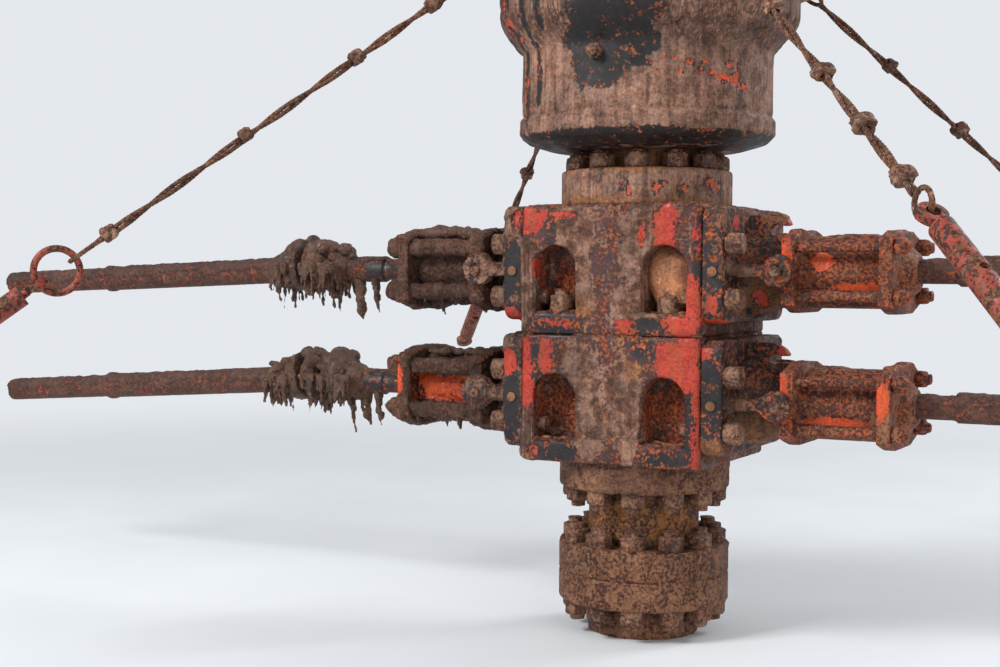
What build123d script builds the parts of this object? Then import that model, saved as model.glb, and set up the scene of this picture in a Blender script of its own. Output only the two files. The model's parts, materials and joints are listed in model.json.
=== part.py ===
from build123d import *
import os
from math import asin, atan2, cos, degrees, hypot, radians, sin, sqrt

# A wellhead blowout preventer stack in millimetres: casing head and drilling spool, two ram
# preventers with hydraulic cylinders and lock shafts, an annular preventer on top, four stays.
# +Z is up, +X runs along the ram axes, and the origin is on the bore's axis at ground level.
os.makedirs("parts", exist_ok=True)

# Bore, flanges and studs of the 280 mm bore class. Studs are plain bars, as thick as their
# thread where they stand free and as its root where they are screwed in.
BORE_R = 140
FLANGE_R = 292.5
FLANGE_EDGE = 5
STUD_EDGE = 51.2
STUD_COUNT = 12
STUD_R = 23.8
STUD_ROOT_R = 22.1
STUD_TIP = 20
FOOT_STUD_TIP = 10
STUD_SINK = 62
NUT_ACROSS = 75
NUT_H = 46
NUT_BEVEL = 5
NUT_CLEAR = 8
HOLE_GAP = 1.7
FIT = 0.3
GROOVE_OUT = 22
GROOVE_W = 17
GROOVE_DEPTH = 8

# Casing head and drilling spool
HEAD_H = 210
HEAD_FLANGE_T = 98
SPOOL_H = 390
SPOOL_FLANGE_T = 98

# Ram bodies
BODY_X = 645
BODY_Y = 638
BODY_H = 427
BODY_CORNER_R = 26
BODY_EDGE = 7
RAM_AXIS_UP = 211
POCKET_X = 194
POCKET_W = 158
POCKET_FLOOR = 70
POCKET_H = 226
POCKET_DEPTH = 112
POCKET_STUD_IN = 58
COLLAR_R = 38
COLLAR_T = 10

# Ram doors and their bolts
DOOR_T = 70
DOOR_Y = 620
DOOR_TOP_GAP = 12
DOOR_FOOT_GAP = 45
DOOR_CORNER_R = 44
DOOR_EDGE = 8
BOLT_Y = 268
BOLT_Z = 89
BOLT_SINK = 80
BOLT_ACROSS = 66
BOLT_COLLAR_R = 36
BOLT_COLLAR_T = 16
BOLT_HEAD_T = 38
BOSS_BASE_R = 158
BOSS_END_R = 92
BOSS_LEN = 150
ARM_Y = 215
ARM_T = 40
ARM_RIB_H = 34
ARM_FILLET_R = 28
EYE_R = 50
EYE_OUT = 148
EYE_BOLT_R = 16
EYE_BOLT_ACROSS = 34
EYE_BOLT_HEAD_T = 16
HOOK_Y = -30
HOOK_T = 38
HOOK_WALL = 30
HOOK_NOTCH_R = 20
HOOK_NOTCH_UP = 138
HOOK_NOTCH_OUT = 88
HOOK_GAP = 26
PLUG_R = 16
PLUG_OUT = 6

# Ram cylinders, their heads and tie rods
CYL_FLANGE_T = 42
CYL_LEN = 267
CYL_R = 117
CYL_PLATE_Y = 190
CYL_PLATE_Z = 132
CYL_PLATE_FLAT = 94
CYL_PLATE_SIDE = 106
HEAD_PLATE_T = 43
HEAD_CONE_R = 96
HEAD_CONE_END_R = 54
HEAD_CONE_LEN = 44
ROD_Y = 156
ROD_Z = 78
ROD_R = 16
ROD_NUT_ACROSS = 48
ROD_NUT_T = 34
ROD_TIP = 16

# Lock screws, universal joints and extension shafts
SCREW_R = 36
SCREW_SINK = 70
SCREW_OUT = 122
SLEEVE_R = 44
JOINT_OUT = 481.5
YOKE_LEN = 100
YOKE_DISC_T = 30
YOKE_R = 62
YOKE_ARM_T = 26
YOKE_ARM_W = 60
YOKE_REACH = 35
CROSS_R = 30
CROSS_LEN = 44
CROSS_PIN_R = 13
PIN_GAP = 0.6
PIN_FLOAT = 5
SHAFT_R = 46
SHAFT_END_R = 42
SHAFT_RING_R = 51
SHAFT_RING_W = 30
SHAFT_STEP_OUT = 1030
SHAFT_END_OUT = 1600

# Annular preventer, heights counted from its foot
ANNULAR_FLANGE_T = 126
ANNULAR_R = 425
ANNULAR_LIP_R = 433
ANNULAR_DRUM_R = 507
ANNULAR_LIP_Z = 220
ANNULAR_LIP_H = 69
ANNULAR_LIP_EDGE = 24
UNDERSIDE_IN = 100
UNDERSIDE_DROP = 22
UNDERSIDE_FALL = 10
ANNULAR_GROOVE_Z = 303
ANNULAR_GROOVE_DEPTH = 8
ANNULAR_GROOVE_EDGE = 12
ANNULAR_SEAM_Z = 511
ANNULAR_SEAM_H = 8
ANNULAR_SEAM_DEPTH = 6
ANNULAR_DRUM_Z = 632
ANNULAR_SPLIT_Z = 850
ANNULAR_TOP_Z = 1090
ANNULAR_HUB_R = 330
ANNULAR_HUB_H = 45
CAP_SHOULDER = 70
CAP_ROOF_UP = 70
CHAMBER_R = 335
CHAMBER_Z = 480
PACKER_H = 330
PACKER_TOP_R = 270
TOP_STUD_UP = 150

# Stays: each runs down and out from a lug on the drum
STAY_ANGLE = 45
STAY_FALL = 0.74
LUG_REACH = 78
LUG_UP = 786
LUG_T = 36
LUG_END_R = 45
LUG_HOLE_R = 24
LUG_FOOT = 180
LUG_FOOT_OUT = 10
ROPE_R = 8
ROPE_EYE_R = 38
ROPE_LEN = {"left": 1612, "right": 1418}
CLIPS = {"left": (200, 516, 964, 1487), "right": (420, 790, 1050, 1290)}
CLIP_W = 48
CLIP_T = 30
CLIP_CORNER_R = 7.5
CLIP_LEN = 34
RING_R = 69
RING_WIRE_R = 11
END_EYE_R = 38
END_EYE_T = 24
END_EYE_HOLE_R = 19
END_SHANK_R = 14
END_SHANK_LEN = 84
END_ROOT = 6
TURN_R = 33
TURN_LEN = 380
TURN_GRIP = 70
TURN_BAR_R = 13

# Heights and reaches that follow from the sizes above
SPOOL_Z = HEAD_H
LOWER_Z = SPOOL_Z + SPOOL_H
UPPER_Z = LOWER_Z + BODY_H
ANNULAR_Z = UPPER_Z + BODY_H
CAP_Z = ANNULAR_Z + ANNULAR_TOP_Z
STUD_CIRCLE_R = FLANGE_R - STUD_EDGE
STUD_HOLE_R = STUD_R + HOLE_GAP
NECK_R = STUD_CIRCLE_R - NUT_ACROSS / sqrt(3) - NUT_CLEAR
HALF_PITCH = 180 / STUD_COUNT
DOOR_UP = BODY_H - RAM_AXIS_UP - DOOR_TOP_GAP
DOOR_DOWN = RAM_AXIS_UP - DOOR_FOOT_GAP
DOOR_X = BODY_X / 2
BOSS_X = DOOR_X + DOOR_T
CYL_X = BOSS_X + BOSS_LEN
BARREL_X = CYL_X + CYL_FLANGE_T
HEAD_X = BARREL_X + CYL_LEN
CONE_X = HEAD_X + HEAD_PLATE_T
SCREW_X = CONE_X + HEAD_CONE_LEN
JOINT_X = SCREW_X + JOINT_OUT
SHAFT_STEP_X = JOINT_X + SHAFT_STEP_OUT
SHAFT_END_X = JOINT_X + SHAFT_END_OUT
EYE_X = BOSS_X + EYE_OUT
LUG_R = ANNULAR_DRUM_R + LUG_REACH
LUG_Z = ANNULAR_Z + LUG_UP
RAM_AXES = {"lower": LOWER_Z + RAM_AXIS_UP, "upper": UPPER_Z + RAM_AXIS_UP}
SIDES = {"left": -1, "right": 1}
SHAFT_FALL = {"upper_left": 2.4, "lower_left": 3.9, "upper_right": 0.0, "lower_right": 0.0}
STAY_SLOPE = hypot(1, STAY_FALL)


def save(part, name):
    """Labels a finished piece and writes it."""
    part.label = name
    export_step(part, f"parts/{name}.step")


def side_plane(side, x, z=0):
    """A plane that faces out along the ram axis, with its own x along Y and its y up."""
    return Plane(origin=(side * x, 0, z), x_dir=(0, side, 0), z_dir=(side, 0, 0))


def ram_plane(side, y, z):
    """An upright plane along the ram axis, with its own x outwards and its y up."""
    return Plane(origin=(0, y, z), x_dir=(side, 0, 0), z_dir=(0, -side, 0))


def hex_nut(across, height):
    """A hex nut or bolt head that stands on the origin, its upper corners turned off."""
    corner_r = across / sqrt(3)
    face_r = across / 2 - NUT_BEVEL / 2
    with BuildPart() as nut:
        with BuildSketch():
            RegularPolygon(across / 2, 6, major_radius=False)
        extrude(amount=height)
        with BuildSketch(Plane.XZ) as blank:
            with BuildLine():
                Polyline((0, 0), (corner_r, 0), (corner_r, height - NUT_BEVEL),
                         (face_r, height), (0, height), close=True)
            make_face()
        revolve(blank.sketch, axis=Axis.Z, mode=Mode.INTERSECT)
    return nut.part


def stud_holes(z, depth, radius):
    """Cuts the flange's ring of stud holes, upwards from height z."""
    with BuildSketch(Plane.XY.offset(z)) as circles:
        with PolarLocations(STUD_CIRCLE_R, STUD_COUNT, HALF_PITCH):
            Circle(radius)
    extrude(circles.sketch, amount=depth, mode=Mode.SUBTRACT)


def stud_ring(low, high, nuts=(), radius=STUD_R):
    """Adds a ring of studs between two heights, with a hex nut standing on each listed height."""
    with BuildSketch(Plane.XY.offset(low)) as shanks:
        with PolarLocations(STUD_CIRCLE_R, STUD_COUNT, HALF_PITCH):
            Circle(radius)
    extrude(shanks.sketch, amount=high - low)
    nut = hex_nut(NUT_ACROSS, NUT_H)
    for z, upright in nuts:
        seat_plane = Plane.XY.offset(z)
        with Locations(seat_plane if upright else -seat_plane):
            with PolarLocations(STUD_CIRCLE_R, STUD_COUNT, HALF_PITCH):
                add(nut)


def turned(points):
    """Turns a closed outline of radius and height about the bore's axis."""
    with BuildSketch(Plane.XZ) as profile:
        with BuildLine():
            Polyline(*points, close=True)
        make_face()
    revolve(profile.sketch, axis=Axis.Z)


def ring_groove(z):
    """Cuts the gasket's groove round the bore, down from height z."""
    with BuildSketch(Plane.XY.offset(z)) as groove:
        Circle(BORE_R + GROOVE_OUT + GROOVE_W / 2)
        Circle(BORE_R + GROOVE_OUT - GROOVE_W / 2, mode=Mode.SUBTRACT)
    extrude(groove.sketch, amount=-GROOVE_DEPTH, mode=Mode.SUBTRACT)


# Casing head: a short body with one flange, its foot on the ground
with BuildPart() as casing_head:
    low = HEAD_H - HEAD_FLANGE_T
    turned([
        (BORE_R, 0), (NECK_R, 0), (NECK_R, low),
        (FLANGE_R - FLANGE_EDGE, low), (FLANGE_R, low + FLANGE_EDGE),
        (FLANGE_R, HEAD_H - FLANGE_EDGE), (FLANGE_R - FLANGE_EDGE, HEAD_H), (BORE_R, HEAD_H),
    ])
    stud_holes(low, HEAD_FLANGE_T, STUD_HOLE_R)
    ring_groove(HEAD_H)
save(casing_head.part, "casing_head")

# Drilling spool: a tube between two equal flanges
with BuildPart() as drilling_spool:
    low = SPOOL_Z + SPOOL_FLANGE_T
    high = LOWER_Z - SPOOL_FLANGE_T
    turned([
        (BORE_R, SPOOL_Z), (FLANGE_R - FLANGE_EDGE, SPOOL_Z), (FLANGE_R, SPOOL_Z + FLANGE_EDGE),
        (FLANGE_R, low - FLANGE_EDGE), (FLANGE_R - FLANGE_EDGE, low), (NECK_R, low),
        (NECK_R, high), (FLANGE_R - FLANGE_EDGE, high), (FLANGE_R, high + FLANGE_EDGE),
        (FLANGE_R, LOWER_Z - FLANGE_EDGE), (FLANGE_R - FLANGE_EDGE, LOWER_Z), (BORE_R, LOWER_Z),
    ])
    stud_holes(SPOOL_Z, SPOOL_FLANGE_T, STUD_HOLE_R)
    stud_holes(high, SPOOL_FLANGE_T, STUD_HOLE_R)
save(drilling_spool.part, "drilling_spool")

# Through studs between casing head and spool, a nut at each end
with BuildPart() as spool_base_studs:
    low = HEAD_H - HEAD_FLANGE_T
    high = SPOOL_Z + SPOOL_FLANGE_T
    stud_ring(low - NUT_H - STUD_TIP, high + NUT_H + STUD_TIP, ((low, False), (high, True)))
save(spool_base_studs.part, "spool_base_studs")

# Studs screwed up into the lower ram body, nuts under the spool's top flange
with BuildPart() as spool_top_studs:
    low = LOWER_Z - SPOOL_FLANGE_T
    stud_ring(low - NUT_H - STUD_TIP, LOWER_Z, ((low, False),))
    stud_ring(LOWER_Z, LOWER_Z + STUD_SINK, radius=STUD_ROOT_R)
save(spool_top_studs.part, "spool_top_studs")


def ram_body(z, blind_holes):
    """One ram preventer body: a bored block with arched stud pockets front and rear."""
    with BuildPart() as body:
        with BuildSketch(Plane.XY.offset(z)):
            RectangleRounded(BODY_X, BODY_Y, BODY_CORNER_R)
        extrude(amount=BODY_H)
        chamfer(body.faces().sort_by(Axis.Z)[-1].edges(), BODY_EDGE)
        chamfer(body.faces().sort_by(Axis.Z)[0].edges(), BODY_EDGE)
        with BuildSketch(Plane.XY.offset(z)):
            Circle(BORE_R)
        extrude(amount=BODY_H, mode=Mode.SUBTRACT)
        spring = z + POCKET_FLOOR + POCKET_H - POCKET_W / 2
        for face_y, inward in ((BODY_Y / 2, -1), (-BODY_Y / 2, 1)):
            with BuildSketch(Plane.XZ.offset(face_y)) as pockets:
                for x in (-POCKET_X, POCKET_X):
                    with BuildLine():
                        left, right = x - POCKET_W / 2, x + POCKET_W / 2
                        floor = z + POCKET_FLOOR
                        Polyline((left, spring), (left, floor), (right, floor), (right, spring))
                        ThreePointArc(
                            (right, spring), (x, spring + POCKET_W / 2), (left, spring))
                    make_face()
            extrude(pockets.sketch, amount=inward * POCKET_DEPTH, mode=Mode.SUBTRACT)
        stud_y = BODY_Y / 2 - POCKET_STUD_IN
        with BuildSketch(Plane.XY.offset(z)):
            with GridLocations(2 * POCKET_X, 2 * stud_y, 2, 2):
                Circle(STUD_HOLE_R)
        extrude(amount=POCKET_FLOOR, mode=Mode.SUBTRACT)
        for side in SIDES.values():
            with BuildSketch(side_plane(side, DOOR_X, z + RAM_AXIS_UP)) as bolts:
                with GridLocations(2 * BOLT_Y, 2 * BOLT_Z, 2, 2):
                    Circle(STUD_ROOT_R + FIT)
            extrude(bolts.sketch, amount=-BOLT_SINK - FIT, mode=Mode.SUBTRACT)
        for level in blind_holes:
            stud_holes(level, STUD_SINK + FIT, STUD_ROOT_R + FIT)
    return body.part


# Lower ram body: blind stud holes in its underside, and four in its top for the pocket studs
stud_y = BODY_Y / 2 - POCKET_STUD_IN
with BuildPart() as lower_ram_body:
    add(ram_body(LOWER_Z, (LOWER_Z,)))
    with BuildSketch(Plane.XY.offset(UPPER_Z)):
        with GridLocations(2 * POCKET_X, 2 * stud_y, 2, 2):
            Circle(STUD_ROOT_R + FIT)
    extrude(amount=-STUD_SINK - FIT, mode=Mode.SUBTRACT)
save(lower_ram_body.part, "lower_ram_body")

# Upper ram body: blind stud holes in its top for the annular preventer
with BuildPart() as upper_ram_body:
    add(ram_body(UPPER_Z, (ANNULAR_Z - STUD_SINK - FIT,)))
save(upper_ram_body.part, "upper_ram_body")

# Four studs that stand in the upper body's pockets and hold the two bodies together
with BuildPart() as pocket_studs:
    floor = UPPER_Z + POCKET_FLOOR
    with GridLocations(2 * POCKET_X, 2 * stud_y, 2, 2):
        with Locations((0, 0, UPPER_Z)):
            Cylinder(STUD_ROOT_R, STUD_SINK, align=(Align.CENTER, Align.CENTER, Align.MAX))
            Cylinder(STUD_R, POCKET_FLOOR + COLLAR_T + NUT_H + STUD_TIP,
                     align=(Align.CENTER, Align.CENTER, Align.MIN))
        with Locations((0, 0, floor)):
            Cylinder(COLLAR_R, COLLAR_T, align=(Align.CENTER, Align.CENTER, Align.MIN))
    with Locations((0, 0, floor + COLLAR_T)):
        with GridLocations(2 * POCKET_X, 2 * stud_y, 2, 2):
            add(hex_nut(NUT_ACROSS, NUT_H))
save(pocket_studs.part, "pocket_studs")


def door_arm(plane):
    """The outline of a door's side arm: a rib that widens into a bored eye."""
    rib = ARM_RIB_H / 2
    turn_r = EYE_R + ARM_FILLET_R
    turn_x = EYE_X - sqrt(turn_r ** 2 - (rib + ARM_FILLET_R) ** 2)
    away = degrees(atan2(rib + ARM_FILLET_R, EYE_X - turn_x))
    with BuildSketch(plane) as arm:
        with BuildLine():
            for end in (1, -1):
                fillet_arc = CenterArc((turn_x, end * (rib + ARM_FILLET_R)), ARM_FILLET_R,
                                       -end * 90, end * (90 - away))
                Line((BOSS_X, end * rib), fillet_arc @ 0)
            Line((BOSS_X, rib), (BOSS_X, -rib))
            CenterArc((EYE_X, 0), EYE_R, away - 180, 360 - 2 * away)
        make_face()
        with Locations((EYE_X, 0)):
            Circle(EYE_BOLT_R + FIT, mode=Mode.SUBTRACT)
    return arm.sketch


def door_hook(plane):
    """The outline of a door's hook plate, its notch open outwards."""
    hook_r = HOOK_NOTCH_R + HOOK_WALL
    notch_x = BOSS_X + HOOK_NOTCH_OUT
    outer = degrees(asin(HOOK_GAP / 2 / hook_r))
    inner = degrees(asin(HOOK_GAP / 2 / HOOK_NOTCH_R))
    with BuildSketch(plane) as hook:
        with BuildLine():
            centre = (notch_x, HOOK_NOTCH_UP)
            upper = CenterArc(centre, hook_r, 90, outer - 90)
            notch = CenterArc(centre, HOOK_NOTCH_R, inner, 360 - 2 * inner)
            lower = CenterArc(centre, hook_r, -outer, outer - 90)
            Line(upper @ 1, notch @ 0)
            Line(notch @ 1, lower @ 0)
            Polyline(lower @ 1, (BOSS_X, HOOK_NOTCH_UP - hook_r),
                     (BOSS_X, HOOK_NOTCH_UP + hook_r), upper @ 0)
        make_face()
    return hook.sketch


def door(side, axis_z):
    """A ram door: plate, conical boss, two side arms with eyes, and a hook plate on top."""
    with BuildPart() as made:
        middle = (DOOR_UP - DOOR_DOWN) / 2
        with BuildSketch(side_plane(side, DOOR_X, axis_z)) as plate:
            with Locations((0, middle)):
                RectangleRounded(DOOR_Y, DOOR_UP + DOOR_DOWN, DOOR_CORNER_R)
        extrude(plate.sketch, amount=DOOR_T)
        outer = made.faces().sort_by(Axis.X)[-1 if side > 0 else 0]
        chamfer(outer.edges(), DOOR_EDGE)
        with BuildSketch(ram_plane(side, 0, axis_z)) as boss:
            with BuildLine():
                Polyline((DOOR_X, 0), (DOOR_X, BOSS_BASE_R), (BOSS_X, BOSS_BASE_R),
                         (CYL_X, BOSS_END_R), (CYL_X, 0), close=True)
            make_face()
        revolve(boss.sketch, axis=Axis((0, 0, axis_z), (1, 0, 0)))
        for arm_y in (-ARM_Y, ARM_Y):
            extrude(door_arm(ram_plane(side, arm_y, axis_z)), amount=ARM_T / 2, both=True)
        extrude(door_hook(ram_plane(side, HOOK_Y, axis_z)), amount=HOOK_T / 2, both=True)
        with BuildSketch(side_plane(side, DOOR_X, axis_z)) as bolts:
            with GridLocations(2 * BOLT_Y, 2 * BOLT_Z, 2, 2):
                Circle(STUD_HOLE_R)
        extrude(bolts.sketch, amount=DOOR_T, mode=Mode.SUBTRACT)
    return made.part


def cylinder_plate(side, x, axis_z):
    """The eight-cornered outline that both of the cylinder's plates share."""
    with BuildSketch(side_plane(side, x, axis_z)) as outline:
        with BuildLine():
            Polyline(
                (CYL_PLATE_Y, CYL_PLATE_SIDE), (CYL_PLATE_FLAT, CYL_PLATE_Z),
                (-CYL_PLATE_FLAT, CYL_PLATE_Z), (-CYL_PLATE_Y, CYL_PLATE_SIDE),
                (-CYL_PLATE_Y, -CYL_PLATE_SIDE), (-CYL_PLATE_FLAT, -CYL_PLATE_Z),
                (CYL_PLATE_FLAT, -CYL_PLATE_Z), (CYL_PLATE_Y, -CYL_PLATE_SIDE), close=True)
        make_face()
        with GridLocations(2 * ROD_Y, 2 * ROD_Z, 2, 2):
            Circle(ROD_R + FIT, mode=Mode.SUBTRACT)
    return outline.sketch


def cylinder(side, axis_z):
    """A ram cylinder: its inner plate and barrel."""
    with BuildPart() as made:
        extrude(cylinder_plate(side, CYL_X, axis_z), amount=CYL_FLANGE_T)
        with BuildSketch(side_plane(side, BARREL_X, axis_z)) as barrel:
            Circle(CYL_R)
        extrude(barrel.sketch, amount=CYL_LEN)
    return made.part


def cylinder_head(side, axis_z):
    """The end plate and its cone, bored for the lock screw."""
    with BuildPart() as made:
        extrude(cylinder_plate(side, HEAD_X, axis_z), amount=HEAD_PLATE_T)
        with BuildSketch(Plane.XZ) as cone:
            with BuildLine():
                Polyline(
                    (side * CONE_X, axis_z), (side * CONE_X, axis_z + HEAD_CONE_R),
                    (side * SCREW_X, axis_z + HEAD_CONE_END_R), (side * SCREW_X, axis_z),
                    close=True)
            make_face()
        revolve(cone.sketch, axis=Axis((0, 0, axis_z), (1, 0, 0)))
        with BuildSketch(side_plane(side, SCREW_X, axis_z)) as bore:
            Circle(SCREW_R + FIT)
        extrude(bore.sketch, amount=-SCREW_SINK - FIT, mode=Mode.SUBTRACT)
    return made.part


def lock_screw(side, axis_z):
    """The lock screw, its sleeve and the yoke that takes the cross."""
    yoke_x = JOINT_X - YOKE_LEN
    with BuildPart() as made:
        screw_low = SCREW_X - SCREW_SINK
        with BuildSketch(side_plane(side, screw_low, axis_z)) as screw:
            Circle(SCREW_R)
        extrude(screw.sketch, amount=SCREW_SINK + SCREW_OUT)
        with BuildSketch(side_plane(side, SCREW_X + SCREW_OUT, axis_z)) as sleeve:
            Circle(SLEEVE_R)
        extrude(sleeve.sketch, amount=yoke_x - YOKE_DISC_T - SCREW_X - SCREW_OUT)
        with BuildSketch(side_plane(side, yoke_x - YOKE_DISC_T, axis_z)) as disc:
            Circle(YOKE_R)
        extrude(disc.sketch, amount=YOKE_DISC_T)
        with BuildSketch(Plane.XY.offset(axis_z + YOKE_R - YOKE_ARM_T)) as arm:
            with Locations((side * (yoke_x + JOINT_X) / 2, 0)):
                Rectangle(YOKE_LEN, YOKE_ARM_W)
            with Locations((side * JOINT_X, 0)):
                Circle(YOKE_REACH)
                SlotOverall(2 * (CROSS_PIN_R + PIN_FLOAT), 2 * (CROSS_PIN_R + PIN_GAP),
                            mode=Mode.SUBTRACT)
        extrude(arm.sketch, amount=YOKE_ARM_T)
        mirror(made.part, about=Plane.XY.offset(axis_z))
        with BuildSketch(side_plane(side, yoke_x, axis_z)) as round_outside:
            Circle(2 * YOKE_R)
            Circle(YOKE_R, mode=Mode.SUBTRACT)
        extrude(round_outside.sketch, amount=2 * YOKE_REACH + YOKE_LEN, mode=Mode.SUBTRACT)
    return made.part


def shaft_plane(side, axis_z, fall, along=0):
    """A plane square to the extension shaft, some way out from the universal joint."""
    slope = radians(fall)
    out = Vector(side * cos(slope), 0, -sin(slope))
    origin = Vector(side * JOINT_X, 0, axis_z) + out * along
    return Plane(origin=origin, x_dir=(0, side, 0), z_dir=out)


def extension_shaft(side, axis_z, fall):
    """The outer yoke and the long shaft, which steps down at its ring."""
    slope = radians(fall)
    step = (SHAFT_STEP_X - JOINT_X) / cos(slope)
    end = (SHAFT_END_X - SHAFT_END_R * sin(slope) - JOINT_X) / cos(slope)
    here = shaft_plane(side, axis_z, fall)
    with BuildPart() as made:
        with BuildSketch(here.offset(YOKE_LEN)) as disc:
            Circle(YOKE_R)
        extrude(disc.sketch, amount=YOKE_DISC_T)
        with BuildSketch(here.offset(YOKE_LEN + YOKE_DISC_T)) as tube:
            Circle(SHAFT_R)
        extrude(tube.sketch, amount=step - YOKE_LEN - YOKE_DISC_T)
        with BuildSketch(here.offset(step - SHAFT_RING_W)) as ring:
            Circle(SHAFT_RING_R)
        extrude(ring.sketch, amount=SHAFT_RING_W)
        with BuildSketch(here.offset(step)) as rod:
            Circle(SHAFT_END_R)
        extrude(rod.sketch, amount=end - step)
        arm_plane = Plane(origin=here.origin, x_dir=here.z_dir, z_dir=here.x_dir)
        with BuildSketch(arm_plane.offset(YOKE_R - YOKE_ARM_T)) as arm:
            with Locations((YOKE_LEN / 2, 0)):
                Rectangle(YOKE_LEN, YOKE_ARM_W)
            Circle(YOKE_REACH)
            Circle(CROSS_PIN_R + FIT, mode=Mode.SUBTRACT)
        extrude(arm.sketch, amount=YOKE_ARM_T)
        mirror(made.part, about=Plane.XZ)
        with BuildSketch(here.offset(-YOKE_REACH)) as round_outside:
            Circle(2 * YOKE_R)
            Circle(YOKE_R, mode=Mode.SUBTRACT)
        extrude(round_outside.sketch, amount=YOKE_REACH + YOKE_LEN, mode=Mode.SUBTRACT)
    return made.part


def universal_cross(side, axis_z, fall):
    """The cross between the yokes: a round hub with four pins."""
    here = shaft_plane(side, axis_z, fall)
    with BuildPart(here) as made:
        Cylinder(CROSS_R, CROSS_LEN)
        Cylinder(CROSS_PIN_R, 2 * YOKE_R, rotation=(90, 0, 0))
        Cylinder(CROSS_PIN_R, 2 * YOKE_R, rotation=(0, 90, 0))
    return made.part


# Doors, cylinders, heads, lock screws, crosses and shafts: one set on each end of each ram axis
for level, axis_z in RAM_AXES.items():
    for side_name, side in SIDES.items():
        place = f"{level}_{side_name}"
        fall = SHAFT_FALL[place]
        save(door(side, axis_z), f"door_{place}")
        save(cylinder(side, axis_z), f"cylinder_{place}")
        save(cylinder_head(side, axis_z), f"cylinder_head_{place}")
        save(lock_screw(side, axis_z), f"lock_screw_{place}")
        save(universal_cross(side, axis_z, fall), f"universal_cross_{place}")
        save(extension_shaft(side, axis_z, fall), f"extension_shaft_{place}")


def grid_bars(side, x, length, radius, grid_y, grid_z):
    """Adds four like round bars along the ram axis on both ram levels."""
    for axis_z in RAM_AXES.values():
        with BuildSketch(side_plane(side, x, axis_z)) as ends:
            with GridLocations(2 * grid_y, 2 * grid_z, 2, 2):
                Circle(radius)
        extrude(ends.sketch, amount=length)


def grid_nuts(side, x, nut, grid_y, grid_z):
    """Adds four like nuts or bolt heads that face out along the ram axis on both ram levels."""
    for axis_z in RAM_AXES.values():
        with Locations(side_plane(side, x, axis_z)):
            with GridLocations(2 * grid_y, 2 * grid_z, 2, 2):
                add(nut)


# Tie rods: four to a cylinder, with a nut outside the head
for side_name, side in SIDES.items():
    with BuildPart() as tie_rods:
        rod_len = CONE_X + ROD_NUT_T + ROD_TIP - CYL_X
        grid_bars(side, CYL_X, rod_len, ROD_R, ROD_Y, ROD_Z)
        grid_nuts(side, CONE_X, hex_nut(ROD_NUT_ACROSS, ROD_NUT_T), ROD_Y, ROD_Z)
    save(tie_rods.part, f"tie_rods_{side_name}")

# Door bolts: four to a door, each with a collar under a hex head
for side_name, side in SIDES.items():
    with BuildPart() as door_bolts:
        grid_bars(side, DOOR_X - BOLT_SINK, BOLT_SINK, STUD_ROOT_R, BOLT_Y, BOLT_Z)
        grid_bars(side, DOOR_X, DOOR_T, STUD_R, BOLT_Y, BOLT_Z)
        grid_bars(side, BOSS_X, BOLT_COLLAR_T, BOLT_COLLAR_R, BOLT_Y, BOLT_Z)
        grid_nuts(side, BOSS_X + BOLT_COLLAR_T, hex_nut(BOLT_ACROSS, BOLT_HEAD_T), BOLT_Y, BOLT_Z)
    save(door_bolts.part, f"door_bolts_{side_name}")

# Eye bolts: one in each arm of each door
with BuildPart() as eye_bolts:
    for axis_z in RAM_AXES.values():
        for side in SIDES.values():
            for arm_y in (-1, 1):
                outer = arm_y * (ARM_Y + ARM_T / 2)
                with BuildSketch(Plane.XZ.offset(-outer)) as shank:
                    with Locations((side * EYE_X, axis_z)):
                        Circle(EYE_BOLT_R)
                extrude(shank.sketch, amount=arm_y * ARM_T)
                seat_plane = Plane(origin=(side * EYE_X, outer, axis_z), z_dir=(0, arm_y, 0))
                with Locations(seat_plane):
                    add(hex_nut(EYE_BOLT_ACROSS, EYE_BOLT_HEAD_T))
save(eye_bolts.part, "eye_bolts")

# Annular preventer body: foot flange, neck, bowl that flares into the drum, packing chamber
with BuildPart() as annular_body:
    z = ANNULAR_Z
    seam_z = z + ANNULAR_SEAM_Z
    flare_z = seam_z + ANNULAR_SEAM_H
    groove_z = z + ANNULAR_GROOVE_Z
    lip_z = z + ANNULAR_LIP_Z
    under_z = lip_z - UNDERSIDE_DROP
    with BuildSketch(Plane.XZ) as profile:
        with BuildLine():
            Polyline(
                (ANNULAR_R, flare_z), (ANNULAR_R - ANNULAR_SEAM_DEPTH, (seam_z + flare_z) / 2),
                (ANNULAR_R, seam_z), (ANNULAR_R, groove_z + ANNULAR_GROOVE_EDGE),
                (ANNULAR_R - ANNULAR_GROOVE_DEPTH, groove_z), (ANNULAR_LIP_R, lip_z + ANNULAR_LIP_H),
                (ANNULAR_LIP_R, lip_z + ANNULAR_LIP_EDGE), (ANNULAR_LIP_R - ANNULAR_LIP_EDGE, lip_z),
                (ANNULAR_LIP_R - UNDERSIDE_IN, under_z), (NECK_R, under_z - UNDERSIDE_FALL),
                (NECK_R, z + ANNULAR_FLANGE_T), (FLANGE_R - FLANGE_EDGE, z + ANNULAR_FLANGE_T),
                (FLANGE_R, z + ANNULAR_FLANGE_T - FLANGE_EDGE), (FLANGE_R, z + FLANGE_EDGE),
                (FLANGE_R - FLANGE_EDGE, z), (BORE_R, z), (BORE_R, z + CHAMBER_Z),
                (CHAMBER_R, z + CHAMBER_Z), (CHAMBER_R, z + ANNULAR_SPLIT_Z),
                (ANNULAR_DRUM_R, z + ANNULAR_SPLIT_Z), (ANNULAR_DRUM_R, z + ANNULAR_DRUM_Z))
            Spline(
                (ANNULAR_DRUM_R, z + ANNULAR_DRUM_Z), (ANNULAR_R, flare_z),
                tangents=((-0.35, -1), (-0.6, -1)))
        make_face()
    revolve(profile.sketch, axis=Axis.Z)
    stud_holes(z, ANNULAR_FLANGE_T, STUD_HOLE_R)
save(annular_body.part, "annular_body")

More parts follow.
